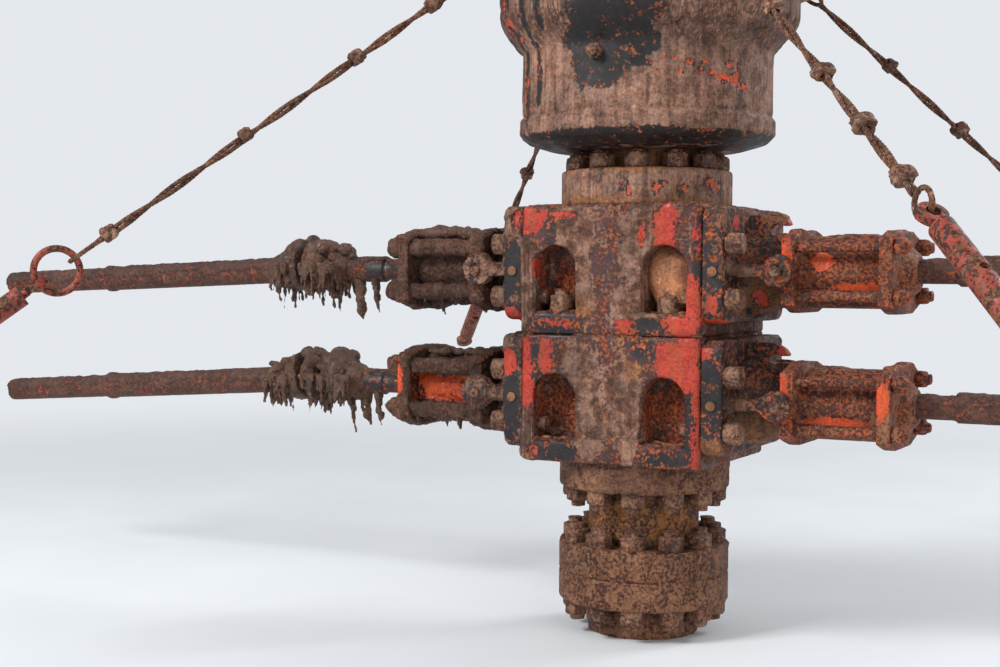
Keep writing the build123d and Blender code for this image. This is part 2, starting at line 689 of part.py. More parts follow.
# Packing element: the rubber ring in the chamber
with BuildPart() as packing_element:
    low = ANNULAR_Z + CHAMBER_Z
    turned([
        (BORE_R, low), (CHAMBER_R - FIT, low), (CHAMBER_R - FIT, low + PACKER_H / 3),
        (PACKER_TOP_R, low + PACKER_H), (BORE_R, low + PACKER_H),
    ])
save(packing_element.part, "packing_element")

# Annular preventer cap: a lid with a sloping shoulder and a studded hub on top
with BuildPart() as annular_cap:
    low = ANNULAR_Z + ANNULAR_SPLIT_Z
    turned([
        (CHAMBER_R, low), (ANNULAR_DRUM_R, low), (ANNULAR_DRUM_R, CAP_Z - CAP_SHOULDER),
        (ANNULAR_DRUM_R - CAP_SHOULDER, CAP_Z), (ANNULAR_HUB_R, CAP_Z),
        (ANNULAR_HUB_R, CAP_Z + ANNULAR_HUB_H), (BORE_R, CAP_Z + ANNULAR_HUB_H),
        (BORE_R, low + CAP_ROOF_UP),
    ])
    ring_groove(CAP_Z + ANNULAR_HUB_H)
    stud_holes(CAP_Z + ANNULAR_HUB_H - STUD_SINK - FIT, STUD_SINK + FIT, STUD_ROOT_R + FIT)
save(annular_cap.part, "annular_cap")

# Studs that hold the annular preventer's foot, nuts on its flange
with BuildPart() as annular_base_studs:
    high = ANNULAR_Z + ANNULAR_FLANGE_T
    stud_ring(ANNULAR_Z - STUD_SINK, ANNULAR_Z, radius=STUD_ROOT_R)
    stud_ring(ANNULAR_Z, high + NUT_H + FOOT_STUD_TIP, ((high, True),))
save(annular_base_studs.part, "annular_base_studs")

# Studs that stand on the cap for what is bolted above
with BuildPart() as top_studs:
    top = CAP_Z + ANNULAR_HUB_H
    stud_ring(top - STUD_SINK, top, radius=STUD_ROOT_R)
    stud_ring(top, top + TOP_STUD_UP)
save(top_studs.part, "top_studs")


def stay_plane(angle, along=0):
    """A plane square to a stay, some way down from its lug, with its own x level."""
    turn = radians(angle)
    down = Vector(cos(turn), sin(turn), -STAY_FALL) / STAY_SLOPE
    origin = Vector(LUG_R * cos(turn), LUG_R * sin(turn), LUG_Z) + down * along
    return Plane(origin=origin, x_dir=(-sin(turn), cos(turn), 0), z_dir=down)


def seat(hole_r, plate_t, ring_r, wire_r):
    """Distance from a plate's hole to the centre of a ring that hangs in it."""
    return hole_r - FIT + sqrt((ring_r - wire_r) ** 2 - (plate_t / 2) ** 2)


STAYS = {
    "front_left": STAY_ANGLE + 180,
    "front_right": -STAY_ANGLE,
    "rear_left": 180 - STAY_ANGLE,
    "rear_right": STAY_ANGLE,
}
TOP_SEAT = seat(LUG_HOLE_R, LUG_T, ROPE_EYE_R, ROPE_R)
ROPE_SEAT = seat(END_EYE_HOLE_R, END_EYE_T, ROPE_EYE_R, ROPE_R)
RING_SEAT = seat(END_EYE_HOLE_R, END_EYE_T, RING_R, RING_WIRE_R)
RING_HANG = ROPE_EYE_R + RING_R - ROPE_R - RING_WIRE_R - FIT
FIRST_EYE = {
    "left": ROPE_LEN["left"] + RING_HANG + RING_SEAT,
    "right": ROPE_LEN["right"] + ROPE_SEAT,
}

# Lugs welded to the drum, one to a stay
with BuildPart() as stay_lugs:
    for angle in STAYS.values():
        turn = radians(angle)
        flat = Plane(origin=(0, 0, LUG_Z), x_dir=(cos(turn), sin(turn), 0),
                     z_dir=(sin(turn), -cos(turn), 0))
        foot_x = ANNULAR_DRUM_R + LUG_FOOT_OUT
        with BuildSketch(flat) as lug:
            with BuildLine():
                Polyline(
                    (ANNULAR_DRUM_R - LUG_T, -LUG_FOOT / 2), (ANNULAR_DRUM_R - LUG_T, LUG_FOOT / 2),
                    (foot_x, LUG_FOOT / 2), (LUG_R, LUG_END_R), (LUG_R, -LUG_END_R),
                    (foot_x, -LUG_FOOT / 2), close=True)
            make_face()
            with Locations((LUG_R, 0)):
                Circle(LUG_END_R)
                Circle(LUG_HOLE_R, mode=Mode.SUBTRACT)
        extrude(lug.sketch, amount=LUG_T / 2, both=True)
    with BuildSketch(Plane.XY.offset(LUG_Z - LUG_FOOT)) as drum:
        Circle(ANNULAR_DRUM_R)
    extrude(drum.sketch, amount=2 * LUG_FOOT, mode=Mode.SUBTRACT)
save(stay_lugs.part, "stay_lugs")

# Stay ropes: a doubled wire rope with a loop at each end
for name, angle in STAYS.items():
    rope_len = ROPE_LEN[name.split("_")[1]]
    with BuildPart(stay_plane(angle)) as stay_rope:
        flip = (90, 0, 0) if name.endswith("left") else (0, 90, 0)
        with Locations((0, 0, TOP_SEAT)):
            Torus(ROPE_EYE_R, ROPE_R, rotation=(90, 0, 0))
        with Locations((0, 0, rope_len)):
            Torus(ROPE_EYE_R, ROPE_R, rotation=flip)
        low = TOP_SEAT + ROPE_EYE_R
        for x in (-ROPE_R - FIT / 2, ROPE_R + FIT / 2):
            with Locations((x, 0, low)):
                Cylinder(ROPE_R, rope_len - ROPE_EYE_R - low,
                         align=(Align.CENTER, Align.CENTER, Align.MIN))
    save(stay_rope.part, f"stay_rope_{name}")

# Rope clips: saddles clamped round both strands
with BuildPart() as rope_clips:
    for name, angle in STAYS.items():
        for along in CLIPS[name.split("_")[1]]:
            with BuildSketch(stay_plane(angle, along)) as clip:
                RectangleRounded(CLIP_W, CLIP_T, CLIP_CORNER_R)
                SlotOverall(4 * ROPE_R + 3 * FIT, 2 * ROPE_R + 2 * FIT, mode=Mode.SUBTRACT)
            extrude(clip.sketch, amount=CLIP_LEN)
save(rope_clips.part, "rope_clips")

# Rings between rope and turnbuckle on the two left stays
with BuildPart() as stay_rings:
    for name in ("front_left", "rear_left"):
        here = stay_plane(STAYS[name], ROPE_LEN["left"] + RING_HANG)
        ring_plane = Plane(origin=here.origin, x_dir=here.z_dir, z_dir=here.y_dir)
        with BuildSketch(ring_plane) as wire:
            with Locations((RING_R, 0)):
                Circle(RING_WIRE_R)
        revolve(wire.sketch, axis=Axis(here.origin, here.x_dir))
save(stay_rings.part, "stay_rings")


def end_eye(here, bore_dir, side):
    """A flat forged eye with its shank, which points along the stay or back up it."""
    plate = Plane(origin=here.origin, x_dir=here.z_dir * side, z_dir=bore_dir)
    with BuildSketch(plate) as eye:
        Circle(END_EYE_R)
        Circle(END_EYE_HOLE_R, mode=Mode.SUBTRACT)
    extrude(eye.sketch, amount=END_EYE_T / 2, both=True)
    shank_plane = Plane(origin=here.origin, x_dir=here.x_dir, z_dir=here.z_dir * side)
    with BuildSketch(shank_plane.offset(END_EYE_R - END_ROOT)) as shank:
        Circle(END_SHANK_R)
    extrude(shank.sketch, amount=END_SHANK_LEN + END_ROOT)


# Turnbuckle of each stay: pipe body with a bar hole, an eye screw in each end
EYE_STEP = END_EYE_R + END_SHANK_LEN - TURN_GRIP
with BuildPart() as turnbuckle_bodies:
    for name, angle in STAYS.items():
        here = stay_plane(angle, FIRST_EYE[name.split("_")[1]] + EYE_STEP)
        with BuildSketch(here) as tube:
            Circle(TURN_R)
        extrude(tube.sketch, amount=TURN_LEN)
        with BuildSketch(here) as bore:
            Circle(END_SHANK_R + FIT)
        extrude(bore.sketch, amount=TURN_GRIP + FIT, mode=Mode.SUBTRACT)
        with BuildSketch(here.offset(TURN_LEN)) as far_bore:
            Circle(END_SHANK_R + FIT)
        extrude(far_bore.sketch, amount=-TURN_GRIP - FIT, mode=Mode.SUBTRACT)
        bar = Plane(origin=here.offset(TURN_LEN / 2).origin, x_dir=here.z_dir, z_dir=here.y_dir)
        with BuildSketch(bar) as bar_hole:
            Circle(TURN_BAR_R)
        extrude(bar_hole.sketch, amount=2 * TURN_R, both=True, mode=Mode.SUBTRACT)
save(turnbuckle_bodies.part, "turnbuckle_bodies")

with BuildPart() as turnbuckle_eyes:
    for name, angle in STAYS.items():
        eye_at = FIRST_EYE[name.split("_")[1]]
        near = stay_plane(angle, eye_at)
        far = stay_plane(angle, eye_at + 2 * EYE_STEP + TURN_LEN)
        end_eye(near, near.y_dir, 1)
        end_eye(far, far.y_dir, -1)
        centre = far.origin
        print(f"stay {name} ends at {centre.X:.3f} {centre.Y:.3f} {centre.Z:.3f}, bore along "
              f"{far.y_dir.X:.5f} {far.y_dir.Y:.5f} {far.y_dir.Z:.5f}")
save(turnbuckle_eyes.part, "turnbuckle_eyes")

# Round plugs in the doors' near edges
with BuildPart() as door_plugs:
    for axis_z in RAM_AXES.values():
        for side in SIDES.values():
            with BuildSketch(Plane.XZ.offset(DOOR_Y / 2)) as plug:
                with Locations((side * (DOOR_X + DOOR_T / 2), axis_z)):
                    Circle(PLUG_R)
            extrude(plug.sketch, amount=PLUG_OUT)
save(door_plugs.part, "door_plugs")
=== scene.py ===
import itertools
import json
from math import cos, radians, sin, tau

import bmesh
import bpy
import numpy as np
from mathutils import Matrix, Vector

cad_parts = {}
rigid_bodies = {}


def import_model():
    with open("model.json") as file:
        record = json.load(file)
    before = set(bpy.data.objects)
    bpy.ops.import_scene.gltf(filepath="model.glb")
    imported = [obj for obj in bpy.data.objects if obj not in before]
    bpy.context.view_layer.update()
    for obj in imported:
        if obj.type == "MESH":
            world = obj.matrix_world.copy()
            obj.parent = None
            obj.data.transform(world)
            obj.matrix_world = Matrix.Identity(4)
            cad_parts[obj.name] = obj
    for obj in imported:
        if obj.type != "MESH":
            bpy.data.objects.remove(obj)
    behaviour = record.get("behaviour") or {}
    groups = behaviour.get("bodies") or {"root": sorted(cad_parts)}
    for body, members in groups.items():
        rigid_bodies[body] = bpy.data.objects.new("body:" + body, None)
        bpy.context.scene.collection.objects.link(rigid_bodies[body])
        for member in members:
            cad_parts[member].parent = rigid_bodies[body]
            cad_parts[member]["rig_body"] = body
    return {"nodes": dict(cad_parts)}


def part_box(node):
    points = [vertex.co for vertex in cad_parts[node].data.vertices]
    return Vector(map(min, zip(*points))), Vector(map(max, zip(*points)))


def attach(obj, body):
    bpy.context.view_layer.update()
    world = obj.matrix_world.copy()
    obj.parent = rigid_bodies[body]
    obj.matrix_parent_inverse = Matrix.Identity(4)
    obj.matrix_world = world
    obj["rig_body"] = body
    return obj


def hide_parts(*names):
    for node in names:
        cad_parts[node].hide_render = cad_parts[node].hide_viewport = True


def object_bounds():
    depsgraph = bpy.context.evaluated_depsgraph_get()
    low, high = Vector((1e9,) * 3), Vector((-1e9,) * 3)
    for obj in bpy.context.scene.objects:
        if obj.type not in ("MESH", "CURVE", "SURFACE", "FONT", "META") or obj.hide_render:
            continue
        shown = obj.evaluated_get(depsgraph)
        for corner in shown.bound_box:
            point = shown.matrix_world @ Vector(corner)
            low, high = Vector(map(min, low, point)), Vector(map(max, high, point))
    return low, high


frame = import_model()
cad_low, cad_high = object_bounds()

# The looks of a wellhead blowout preventer stack: rusty steel, worn red paint and dried mud.
# Metres, +Z up, +X along the ram axes, the origin on the bore's axis at ground level.

bl_info = {
    "name": "Blowout preventer stack",
    "version": (1, 0, 0),
    "blender": (4, 5, 0),
    "location": "3D View > Sidebar > Stack",
    "description": "Dresses the packed stack with weathered steel, mud, ropes and studs",
    "category": "Object",
}

# Places on the stack that its dressing follows
SIDES = {"left": -1, "right": 1}
AXIS_Z = {"lower": 0.811, "upper": 1.238}
BODY_HALF_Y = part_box("upper_ram_body")[1].y
LOWER_BODY_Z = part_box("lower_ram_body")[0].z
UPPER_BODY_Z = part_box("upper_ram_body")[0].z
CAP_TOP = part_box("annular_cap")[1].z
JOINT_X = 1.42
SHAFT_FALL = {"upper_left": 2.4, "lower_left": 3.9, "upper_right": 0.0, "lower_right": 0.0}
POCKET_X = 0.194
POCKET_FLOOR = 0.070

# Stays: the angle in plan, the rope's length, and the turn of its far loop
LUG_R = 0.585
LUG_Z = 2.24
STAY_FALL = 0.74
STAYS = {
    "front_left": (225, 1.612, 0),
    "front_right": (-45, 1.418, 90),
    "rear_left": (135, 1.612, 0),
    "rear_right": (45, 1.418, 90),
}
LOOP_R = 0.038
TOP_LOOP = 0.048
LOOP_GAP = 0.004
PAIR_R = 0.0075
STRANDS = 6

# Radii of the annular preventer's foot, side and drum, and where its mud starts and runs off
FOOT_R = 0.292
BOWL_R = 0.425
DRUM_R = 0.48
MUD_FROM_R = 0.4
BARE_TO_R = 0.36

# Studs on the cap and the tie rods of the cylinders
STUD_COUNT = 12
STUD_R = 0.0238
STUD_CIRCLE_R = 0.2413
THREAD_PITCH = 0.006
THREAD_DEPTH = 0.0022
ROD_Y = 0.156
ROD_Z = 0.078

BACKGROUND = (0.78, 0.81, 0.85, 1.0)
WELD = 1e-5
RIDGE = 0.006
# How far into the stud pockets their patches sit; the dark rust in three of them is partly painted shade
POCKET_SHADE = 0.07
CRUMB = 0.01
FITTING = (0.0, -0.418, 1.939)
SMOOTH_ANGLE = radians(32)


def linear(red, green, blue):
    """The linear values of a colour given by its 0 to 255 sRGB values."""
    shares = [c / 255 for c in (red, green, blue)]
    return tuple(s / 12.92 if s <= 0.04045 else ((s + 0.055) / 1.055) ** 2.4 for s in shares)


def colour(name, words, *rgb):
    """A colour setting."""
    return bpy.props.FloatVectorProperty(
        name=name, description=words, subtype="COLOR", size=3, min=0, max=1, default=linear(*rgb))


def length(name, words, value):
    """A length setting, in metres."""
    return bpy.props.FloatProperty(
        name=name, description=words, default=value, min=0.0001, precision=4,
        unit="LENGTH", subtype="DISTANCE")


class StackColours(bpy.types.PropertyGroup):
    """Colours of the paint, rust and mud."""
    red_paint: colour("Red paint", "Paint of the ram bodies and stays", 190, 54, 38)
    orange_paint: colour("Orange paint", "Clean paint of the cylinders", 228, 82, 34)
    primer: colour("Primer", "Black-brown coat under the paint", 33, 28, 30)
    tar: colour("Tar", "Black patch on the annular preventer", 20, 14, 13)
    purple_coat: colour("Worn coat", "Worn undercoat of the ram bodies", 72, 44, 42)
    grey_mud: colour("Grey mud", "Dull film on the long shafts", 62, 47, 44)
    rust: colour("Rust", "Light rust", 160, 78, 36)
    deep_rust: colour("Deep rust", "Dark rust", 66, 31, 20)
    mud: colour("Mud", "Dried drilling mud", 102, 68, 52)
    pale_mud: colour("Pale mud", "Thin pale mud film", 158, 118, 97)
    dark_mud: colour("Dark mud", "Wet mud", 50, 33, 26)
    wet_brown: colour("Wet brown", "Fresh mud on the joints and left cylinders", 88, 55, 38)
    umber: colour("Umber", "Brown rust of the flanges", 128, 88, 60)
    ochre: colour("Ochre", "Ochre rust stain", 154, 98, 46)
    sand: colour("Sand", "Sandy mud in the upper right pocket", 186, 120, 80)
    drab: colour("Drab", "Film of mud on the nuts and bolts", 140, 100, 74)
    wire: colour("Wire", "Rusty wire of the ropes", 116, 78, 50)
    rubber: colour("Rubber", "Rubber of the packing element", 24, 24, 25)
    brass: colour("Brass", "Brass of the plugs", 112, 78, 42)
    floor: colour("Floor", "Studio floor", 214, 217, 220)


class StackSizes(bpy.types.PropertyGroup):
    """Sizes of the weathering."""
    body_skin: length("Body skin", "Face size on ram bodies", 0.007)
    door_skin: length("Door skin", "Face size on doors", 0.006)
    cylinder_skin: length("Cylinder skin", "Face size on cylinders and heads", 0.0055)
    bowl_skin: length("Bowl skin", "Face size on the annular preventer", 0.0085)
    nut_skin: length("Nut skin", "Face size on nuts and bolts", 0.0045)
    shaft_skin: length("Shaft skin", "Face size on shafts and screws", 0.006)
    clump_skin: length("Clump skin", "Face size on lumps of mud", 0.0055)
    edge: length("Edge", "Bevel on the smaller fittings", 0.0015)
    crust: length("Crust", "Thickness of dried mud", 0.004)
    strand_r: length("Strand", "Radius of one strand of a wire rope", 0.0031)
    rope_r: length("Rope", "Radius that a rope's strands turn on", 0.0048)
    strand_pitch: length("Lay", "Length of one turn of a strand", 0.085)
    pair_pitch: length("Twist", "Length of one turn of the doubled rope", 0.42)


def colours():
    """The scene's colour settings."""
    return bpy.context.scene.stack_colours


def sizes():
    """The scene's size settings."""
    return bpy.context.scene.stack_sizes


# Marks: where clean paint, bare coat, mud or rust shows, rust and painted shade together in the
# pockets. Each kind is a list of patches, with a centre and a reach along X, Y and Z. They repeat on
# the rear, so their Y is the front's.
MARKS = ("paint_here", "bare_here", "mud_here", "rust_here", "runs_here", "stain_here")


def on_face(*rows):
    """Patches on a ram body's front face: x, z, half width and half height."""
    return [((x, -BODY_HALF_Y, z), (half_x, 0.05, half_z)) for x, z, half_x, half_z in rows]


def in_pocket(x, z):
    """A patch that fills one of the stud pockets."""
    return ((x, POCKET_SHADE - BODY_HALF_Y, z), (0.1, 0.055, 0.13))


def on_ring(radius, *rows):
    """Patches on a round face: degrees from the front towards +X, z and half width."""
    return [((radius * sin(radians(turn)), -radius * cos(radians(turn)), z),
             (1.4 * half, 1.8 * half, 1.1 * half)) for turn, z, half in rows]


RAM_MARKS = {
    "paint_here": on_face(
        (-0.29, 1.41, 0.06, 0.06), (0.2, 1.36, 0.05, 0.09), (0.295, 1.15, 0.035, 0.11),
        (0.25, 1.06, 0.07, 0.035), (-0.2, 1.062, 0.08, 0.022), (0.31, 1.34, 0.014, 0.08),
        (-0.302, 0.89, 0.034, 0.15), (-0.226, 0.96, 0.028, 0.07), (0.28, 0.93, 0.048, 0.1),
        (0.2, 0.95, 0.03, 0.07), (0.305, 0.73, 0.022, 0.12), (-0.25, 0.635, 0.05, 0.022),
        (-0.27, 1.25, 0.014, 0.04), (-0.17, 1.42, 0.06, 0.014), (0.12, 1.36, 0.014, 0.05),
        (0.07, 1.06, 0.04, 0.025)),
    "bare_here": on_face(
        (-0.19, 1.06, 0.1, 0.04), (-0.262, 0.92, 0.02, 0.12), (0.13, 0.99, 0.05, 0.04),
        (0.2, 0.63, 0.1, 0.025), (0.315, 1.25, 0.02, 0.22), (-0.2, 0.635, 0.09, 0.03),
        (0.15, 1.055, 0.08, 0.035), (-0.21, 1.38, 0.025, 0.07), (0.29, 0.74, 0.03, 0.12)),
    "mud_here": on_face(
        (-0.095, 1.25, 0.05, 0.2), (-0.3, 1.2, 0.035, 0.18), (-0.085, 0.74, 0.075, 0.15),
        (0.06, 0.84, 0.06, 0.14), (0.07, 0.73, 0.04, 0.12), (-0.1, 0.92, 0.06, 0.1),
        (0.12, 1.32, 0.08, 0.14), (-0.305, 0.68, 0.03, 0.09), (-0.14, 1.37, 0.06, 0.07),
        (0.1, 1.12, 0.08, 0.07)) + [in_pocket(0.194, 1.2)],
    # Dark rust in three pockets: rust, and painted shade in the recesses
    "rust_here": [in_pocket(-0.194, 1.2), in_pocket(-0.194, 0.78), in_pocket(0.194, 0.78)],
    "runs_here": on_face((-0.3, 1.2, 0.04, 0.18), (-0.3, 0.7, 0.05, 0.1)),
    "stain_here": on_face((-0.1, 1.11, 0.04, 0.06), (0.06, 1.02, 0.03, 0.05), (0.1, 0.94, 0.04, 0.07))
        + [in_pocket(0.21, 1.12)],
}
DOOR_MARKS = {
    "paint_here": [
        ((-0.36, -0.31, 1.09), (0.05, 0.1, 0.03)), ((-0.37, -0.31, 0.92), (0.03, 0.1, 0.06)),
        ((-0.34, -0.32, 1.41), (0.02, 0.04, 0.04)), ((0.36, -0.32, 1.14), (0.02, 0.04, 0.05)),
        ((0.36, -0.3, 1.07), (0.05, 0.08, 0.02)), ((0.56, -0.05, 1.41), (0.05, 0.1, 0.03)),
        ((0.34, -0.32, 0.98), (0.02, 0.04, 0.03)), ((0.54, -0.05, 0.99), (0.08, 0.2, 0.03)),
        ((0.41, -0.2, 1.4), (0.03, 0.05, 0.03)), ((0.45, -0.12, 1.15), (0.03, 0.08, 0.04))],
    "bare_here": [
        ((0.36, -0.32, 1.2), (0.03, 0.04, 0.06)), ((0.36, -0.32, 0.84), (0.04, 0.04, 0.14)),
        ((-0.36, -0.32, 1.24), (0.03, 0.04, 0.1)), ((-0.36, -0.32, 0.78), (0.03, 0.04, 0.12))],
    "mud_here": [
        ((0.47, -0.12, 1.16), (0.1, 0.12, 0.07)), ((0.47, -0.12, 0.73), (0.1, 0.12, 0.07)),
        ((0.36, -0.32, 0.68), (0.04, 0.05, 0.06)), ((0.5, -0.05, 1.43), (0.08, 0.1, 0.03)),
        ((0.42, -0.2, 1.24), (0.05, 0.1, 0.03)), ((0.42, -0.2, 0.81), (0.05, 0.1, 0.03))],
    "stain_here": [
        ((0.48, -0.12, 1.15), (0.1, 0.14, 0.08)), ((0.48, -0.12, 0.72), (0.1, 0.14, 0.08)),
        ((0.36, -0.32, 0.67), (0.04, 0.05, 0.05)), ((0.42, -0.1, 0.66), (0.08, 0.2, 0.05))],
}
CYLINDER_MARKS = {
    "paint_here": [
        ((-0.71, -0.12, 0.812), (0.19, 0.07, 0.068)), ((-0.885, -0.19, 0.85), (0.02, 0.04, 0.07)),
        ((0.555, -0.19, 1.26), (0.02, 0.05, 0.09)), ((0.555, -0.19, 0.84), (0.02, 0.05, 0.08)),
        ((0.66, -0.1, 1.27), (0.04, 0.05, 0.03)), ((0.87, -0.19, 0.84), (0.02, 0.04, 0.06)),
        ((0.78, -0.1, 1.19), (0.1, 0.05, 0.012)), ((0.7, -0.1, 0.76), (0.12, 0.05, 0.014)),
        ((0.72, -0.15, 1.335), (0.14, 0.05, 0.012))],
}
ANNULAR_MARKS = {
    "paint_here": on_ring(
        BOWL_R, (24, 1.893, 0.012), (27, 1.873, 0.011), (30, 1.912, 0.009), (35, 1.91, 0.01),
        (41, 1.897, 0.016), (37, 1.868, 0.011), (46, 1.878, 0.011), (48, 1.901, 0.009),
        (52, 1.868, 0.01), (57, 1.853, 0.015), (61, 1.901, 0.011), (64, 1.853, 0.018),
        (67, 1.828, 0.011), (71, 1.831, 0.011), (76, 1.843, 0.01), (-48, 1.87, 0.02),
        (-46, 1.78, 0.016), (-50, 1.82, 0.014)) + on_ring(
        DRUM_R, (-46, 2.06, 0.03), (-44, 2.0, 0.024), (-49, 2.12, 0.03)) + on_ring(
        FOOT_R, (8, 1.514, 0.011), (11, 1.5, 0.012), (33, 1.53, 0.01), (48, 1.507, 0.012),
        (70, 1.53, 0.016), (77, 1.52, 0.014), (29, 1.515, 0.009)),
    "bare_here": [
        ((0.08, -0.44, 2.1), (0.15, 0.2, 0.18)), ((0.075, -0.41, 1.96), (0.12, 0.18, 0.1)),
        ((0.1, -0.42, 2.03), (0.12, 0.22, 0.13)), ((0.03, -0.42, 2.0), (0.12, 0.22, 0.14)),
        ((0.01, -0.42, 1.9), (0.1, 0.16, 0.07)), ((-0.4, -0.2, 1.85), (0.035, 0.1, 0.2)),
        ((-0.44, -0.2, 2.15), (0.05, 0.12, 0.18)), ((-0.34, -0.28, 2.15), (0.03, 0.12, 0.18)),
        ((-0.26, -0.38, 2.13), (0.018, 0.12, 0.15)), ((-0.31, -0.28, 1.85), (0.014, 0.1, 0.16)),
        ((-0.24, -0.34, 1.88), (0.01, 0.1, 0.12)), ((-0.19, -0.42, 2.15), (0.012, 0.1, 0.14)),
        # A black band round the bowl's underside: painted shade under the bowl
        ((0.0, -0.15, 1.672), (0.6, 0.6, 0.026))],
    "mud_here": [((0.2, -0.4, 1.96), (0.2, 0.2, 0.2)), ((0.25, -0.35, 1.8), (0.2, 0.2, 0.05))],
    "runs_here": [((0.1, -0.1, 2.24), (1.2, 1.2, 0.29)), ((-0.4, -0.2, 1.85), (0.14, 0.2, 0.25))],
    "stain_here": [((0.0, -0.1, 1.6), (0.3, 0.3, 0.045)), ((0.0, -0.15, 1.466), (0.4, 0.4, 0.018))],
}
FLANGE_MARKS = {
    "mud_here": [((0.1, -0.29, 1.46), (0.3, 0.2, 0.02)), ((0.1, -0.29, 0.55), (0.25, 0.1, 0.05))],
    "stain_here": [((0.1, -0.2, 1.56), (0.4, 0.4, 0.035)), ((0.1, -0.29, 1.455), (0.3, 0.2, 0.012)),
                   ((0.1, -0.2, 0.4), (0.4, 0.4, 0.06))],
}
SHAFT_MARKS = {
    "bare_here": [
        ((-1.08, -0.05, 1.25), (0.07, 0.04, 0.035)), ((-1.06, -0.05, 0.82), (0.1, 0.04, 0.035))],
}


# Mesh tools

def placed(name, mesh):
    """A new object for a mesh, in the scene."""
    made = bpy.data.objects.new(name, mesh)
    bpy.context.scene.collection.objects.link(made)
    return made


def changed(mesh, kind, **settings):
    """The mesh after one modifier."""
    holder = placed("holder", mesh)
    modifier = holder.modifiers.new("change", kind)
    for key, value in settings.items():
        setattr(modifier, key, value)
    graph = bpy.context.evaluated_depsgraph_get()
    made = bpy.data.meshes.new_from_object(holder.evaluated_get(graph))
    bpy.data.objects.remove(holder)
    bpy.data.meshes.remove(mesh)
    return made


def welded(nodes):
    """One bmesh with copies of CAD nodes, their doubled points merged."""
    joined = bmesh.new()
    for node in nodes:
        joined.from_mesh(frame["nodes"][node].data)
    bmesh.ops.remove_doubles(joined, verts=joined.verts, dist=WELD)
    return joined


def as_mesh(shape, name):
    """The bmesh as a plain mesh with its normals facing out."""
    bmesh.ops.recalc_face_normals(shape, faces=shape.faces)
    made = bpy.data.meshes.new(name)
    shape.to_mesh(made)
    shape.free()
    for layer in [a.name for a in made.attributes if a.name == "custom_normal"]:
        made.attributes.remove(made.attributes[layer])
    return made


def points_of(mesh):
    """The mesh's points, one row each."""
    flat = np.empty(len(mesh.vertices) * 3)
    mesh.vertices.foreach_get("co", flat)
    return flat.reshape(-1, 3)


def normals_of(mesh):
    """The mesh's normals at its points."""
    flat = np.empty(len(mesh.vertices) * 3)
    mesh.vertex_normals.foreach_get("vector", flat)
    return flat.reshape(-1, 3)


def move_points(mesh, points):
    """Writes new places for the mesh's points."""
    mesh.vertices.foreach_set("co", points.ravel())
    mesh.update()


def within_box(points):
    """The points, with none outside the CAD model's box."""
    return np.clip(points, cad_low, cad_high)


def smooth(value, low, high):
    """A smooth step from 0 at low to 1 at high."""
    share = np.clip((value - low) / (high - low), 0, 1)
    return share * share * (3 - 2 * share)


def bumps(points, size, seed):
    """Smooth random values from -1 to 1, with bumps of about the given size."""
    scaled = points / size
    cell = np.floor(scaled).astype(np.int64)
    share = scaled - cell
    share = share * share * (3 - 2 * share)
    total = np.zeros(len(points))
    for corner in itertools.product((0, 1), repeat=3):
        at = cell + corner
        mixed = at[:, 0] * 73856093 ^ at[:, 1] * 19349663 ^ at[:, 2] * 83492791 ^ seed * 2654435761
        mixed = (mixed ^ (mixed >> 13)) * 1274126177 & 0x7FFFFFFF
        mixed = (mixed ^ (mixed >> 15)) & 0xFFFF
        weight = np.prod(np.where(corner, share, 1 - share), axis=1)
        total += weight * (mixed / 0x7FFF - 1)
    return total


def fractal(points, size, seed, steps=3):
    """Random values with bumps of several sizes, each half as large as the one before."""
    total = np.zeros(len(points))
    reach = 0
    for step in range(steps):
        total += bumps(points, size / 2 ** step, seed + step) / 2 ** step
        reach += 1 / 2 ** step
    return total / reach * 1.6


def runs(points, size, seed):
    """Random values stretched downwards, as where mud has run."""
    return fractal(points * (1, 1, 0.1), size, seed, 3)


def spots(points, places, seed):
    """The share of each point that lies in ragged patches, from 0 outside to 1 inside them."""
    torn = 0.28 * fractal(points, 0.045, seed, 4)
    share = np.zeros(len(points))
    for centre, reach in places:
        away = np.linalg.norm((points - centre) / reach, axis=1)
        share = np.maximum(share, 1 - smooth(away + torn, 0.72, 1.15))
    return share


def weathered_mesh(mesh, cover, crust, pits, seed, marks, extra=None):
    """Moves a fine mesh's points for dried mud and pitting, and keeps what shows as attributes."""
    points, normals = points_of(mesh), normals_of(mesh)
    front = points * (1, 0, 1) - np.abs(points) * (0, 1, 0)
    shares = {kind: spots(front, marks.get(kind, ()), seed + 21 + k)
              for k, kind in enumerate(MARKS)}
    top = np.clip(normals[:, 2], 0, 1)
    level = 0.8 * fractal(points, 0.11, seed, 4) + 0.2 * runs(points, 0.03, seed + 11)
    level += 0.9 * top + 2 * cover - 1
    level += 0.9 * shares["mud_here"] - 1.1 * shares["paint_here"] - 2.2 * shares["bare_here"]
    if extra is not None:
        level += extra(points, normals)
    mud = smooth(level, -0.05, 0.35)
    grain = fractal(points, 0.024, seed + 5, 2)
    crumbs = 1 - 2 * np.abs(fractal(points, 0.034, seed + 7, 3))
    pitting = np.minimum(fractal(points, 0.016, seed + 9, 2), 0)
    height = mud * crust * (1 + 0.5 * grain + 0.6 * crumbs + 1.4 * top)
    height += (1 - mud) * pits * pitting
    groove = 1 - smooth(np.abs(bumps(points * (1, 1, 0.03), 0.045, seed + 13)), 0.06, 0.3)
    shares["runs_here"] *= 1 - shares["bare_here"]
    height += RIDGE * shares["runs_here"] * (1 - groove)
    move_points(mesh, within_box(points + normals * height[:, None]))
    for kind, values in (("crust", mud), *shares.items()):
        layer = mesh.attributes.new(kind, "FLOAT", "POINT")
        layer.data.foreach_set("value", values.astype(np.float32))
    return mesh


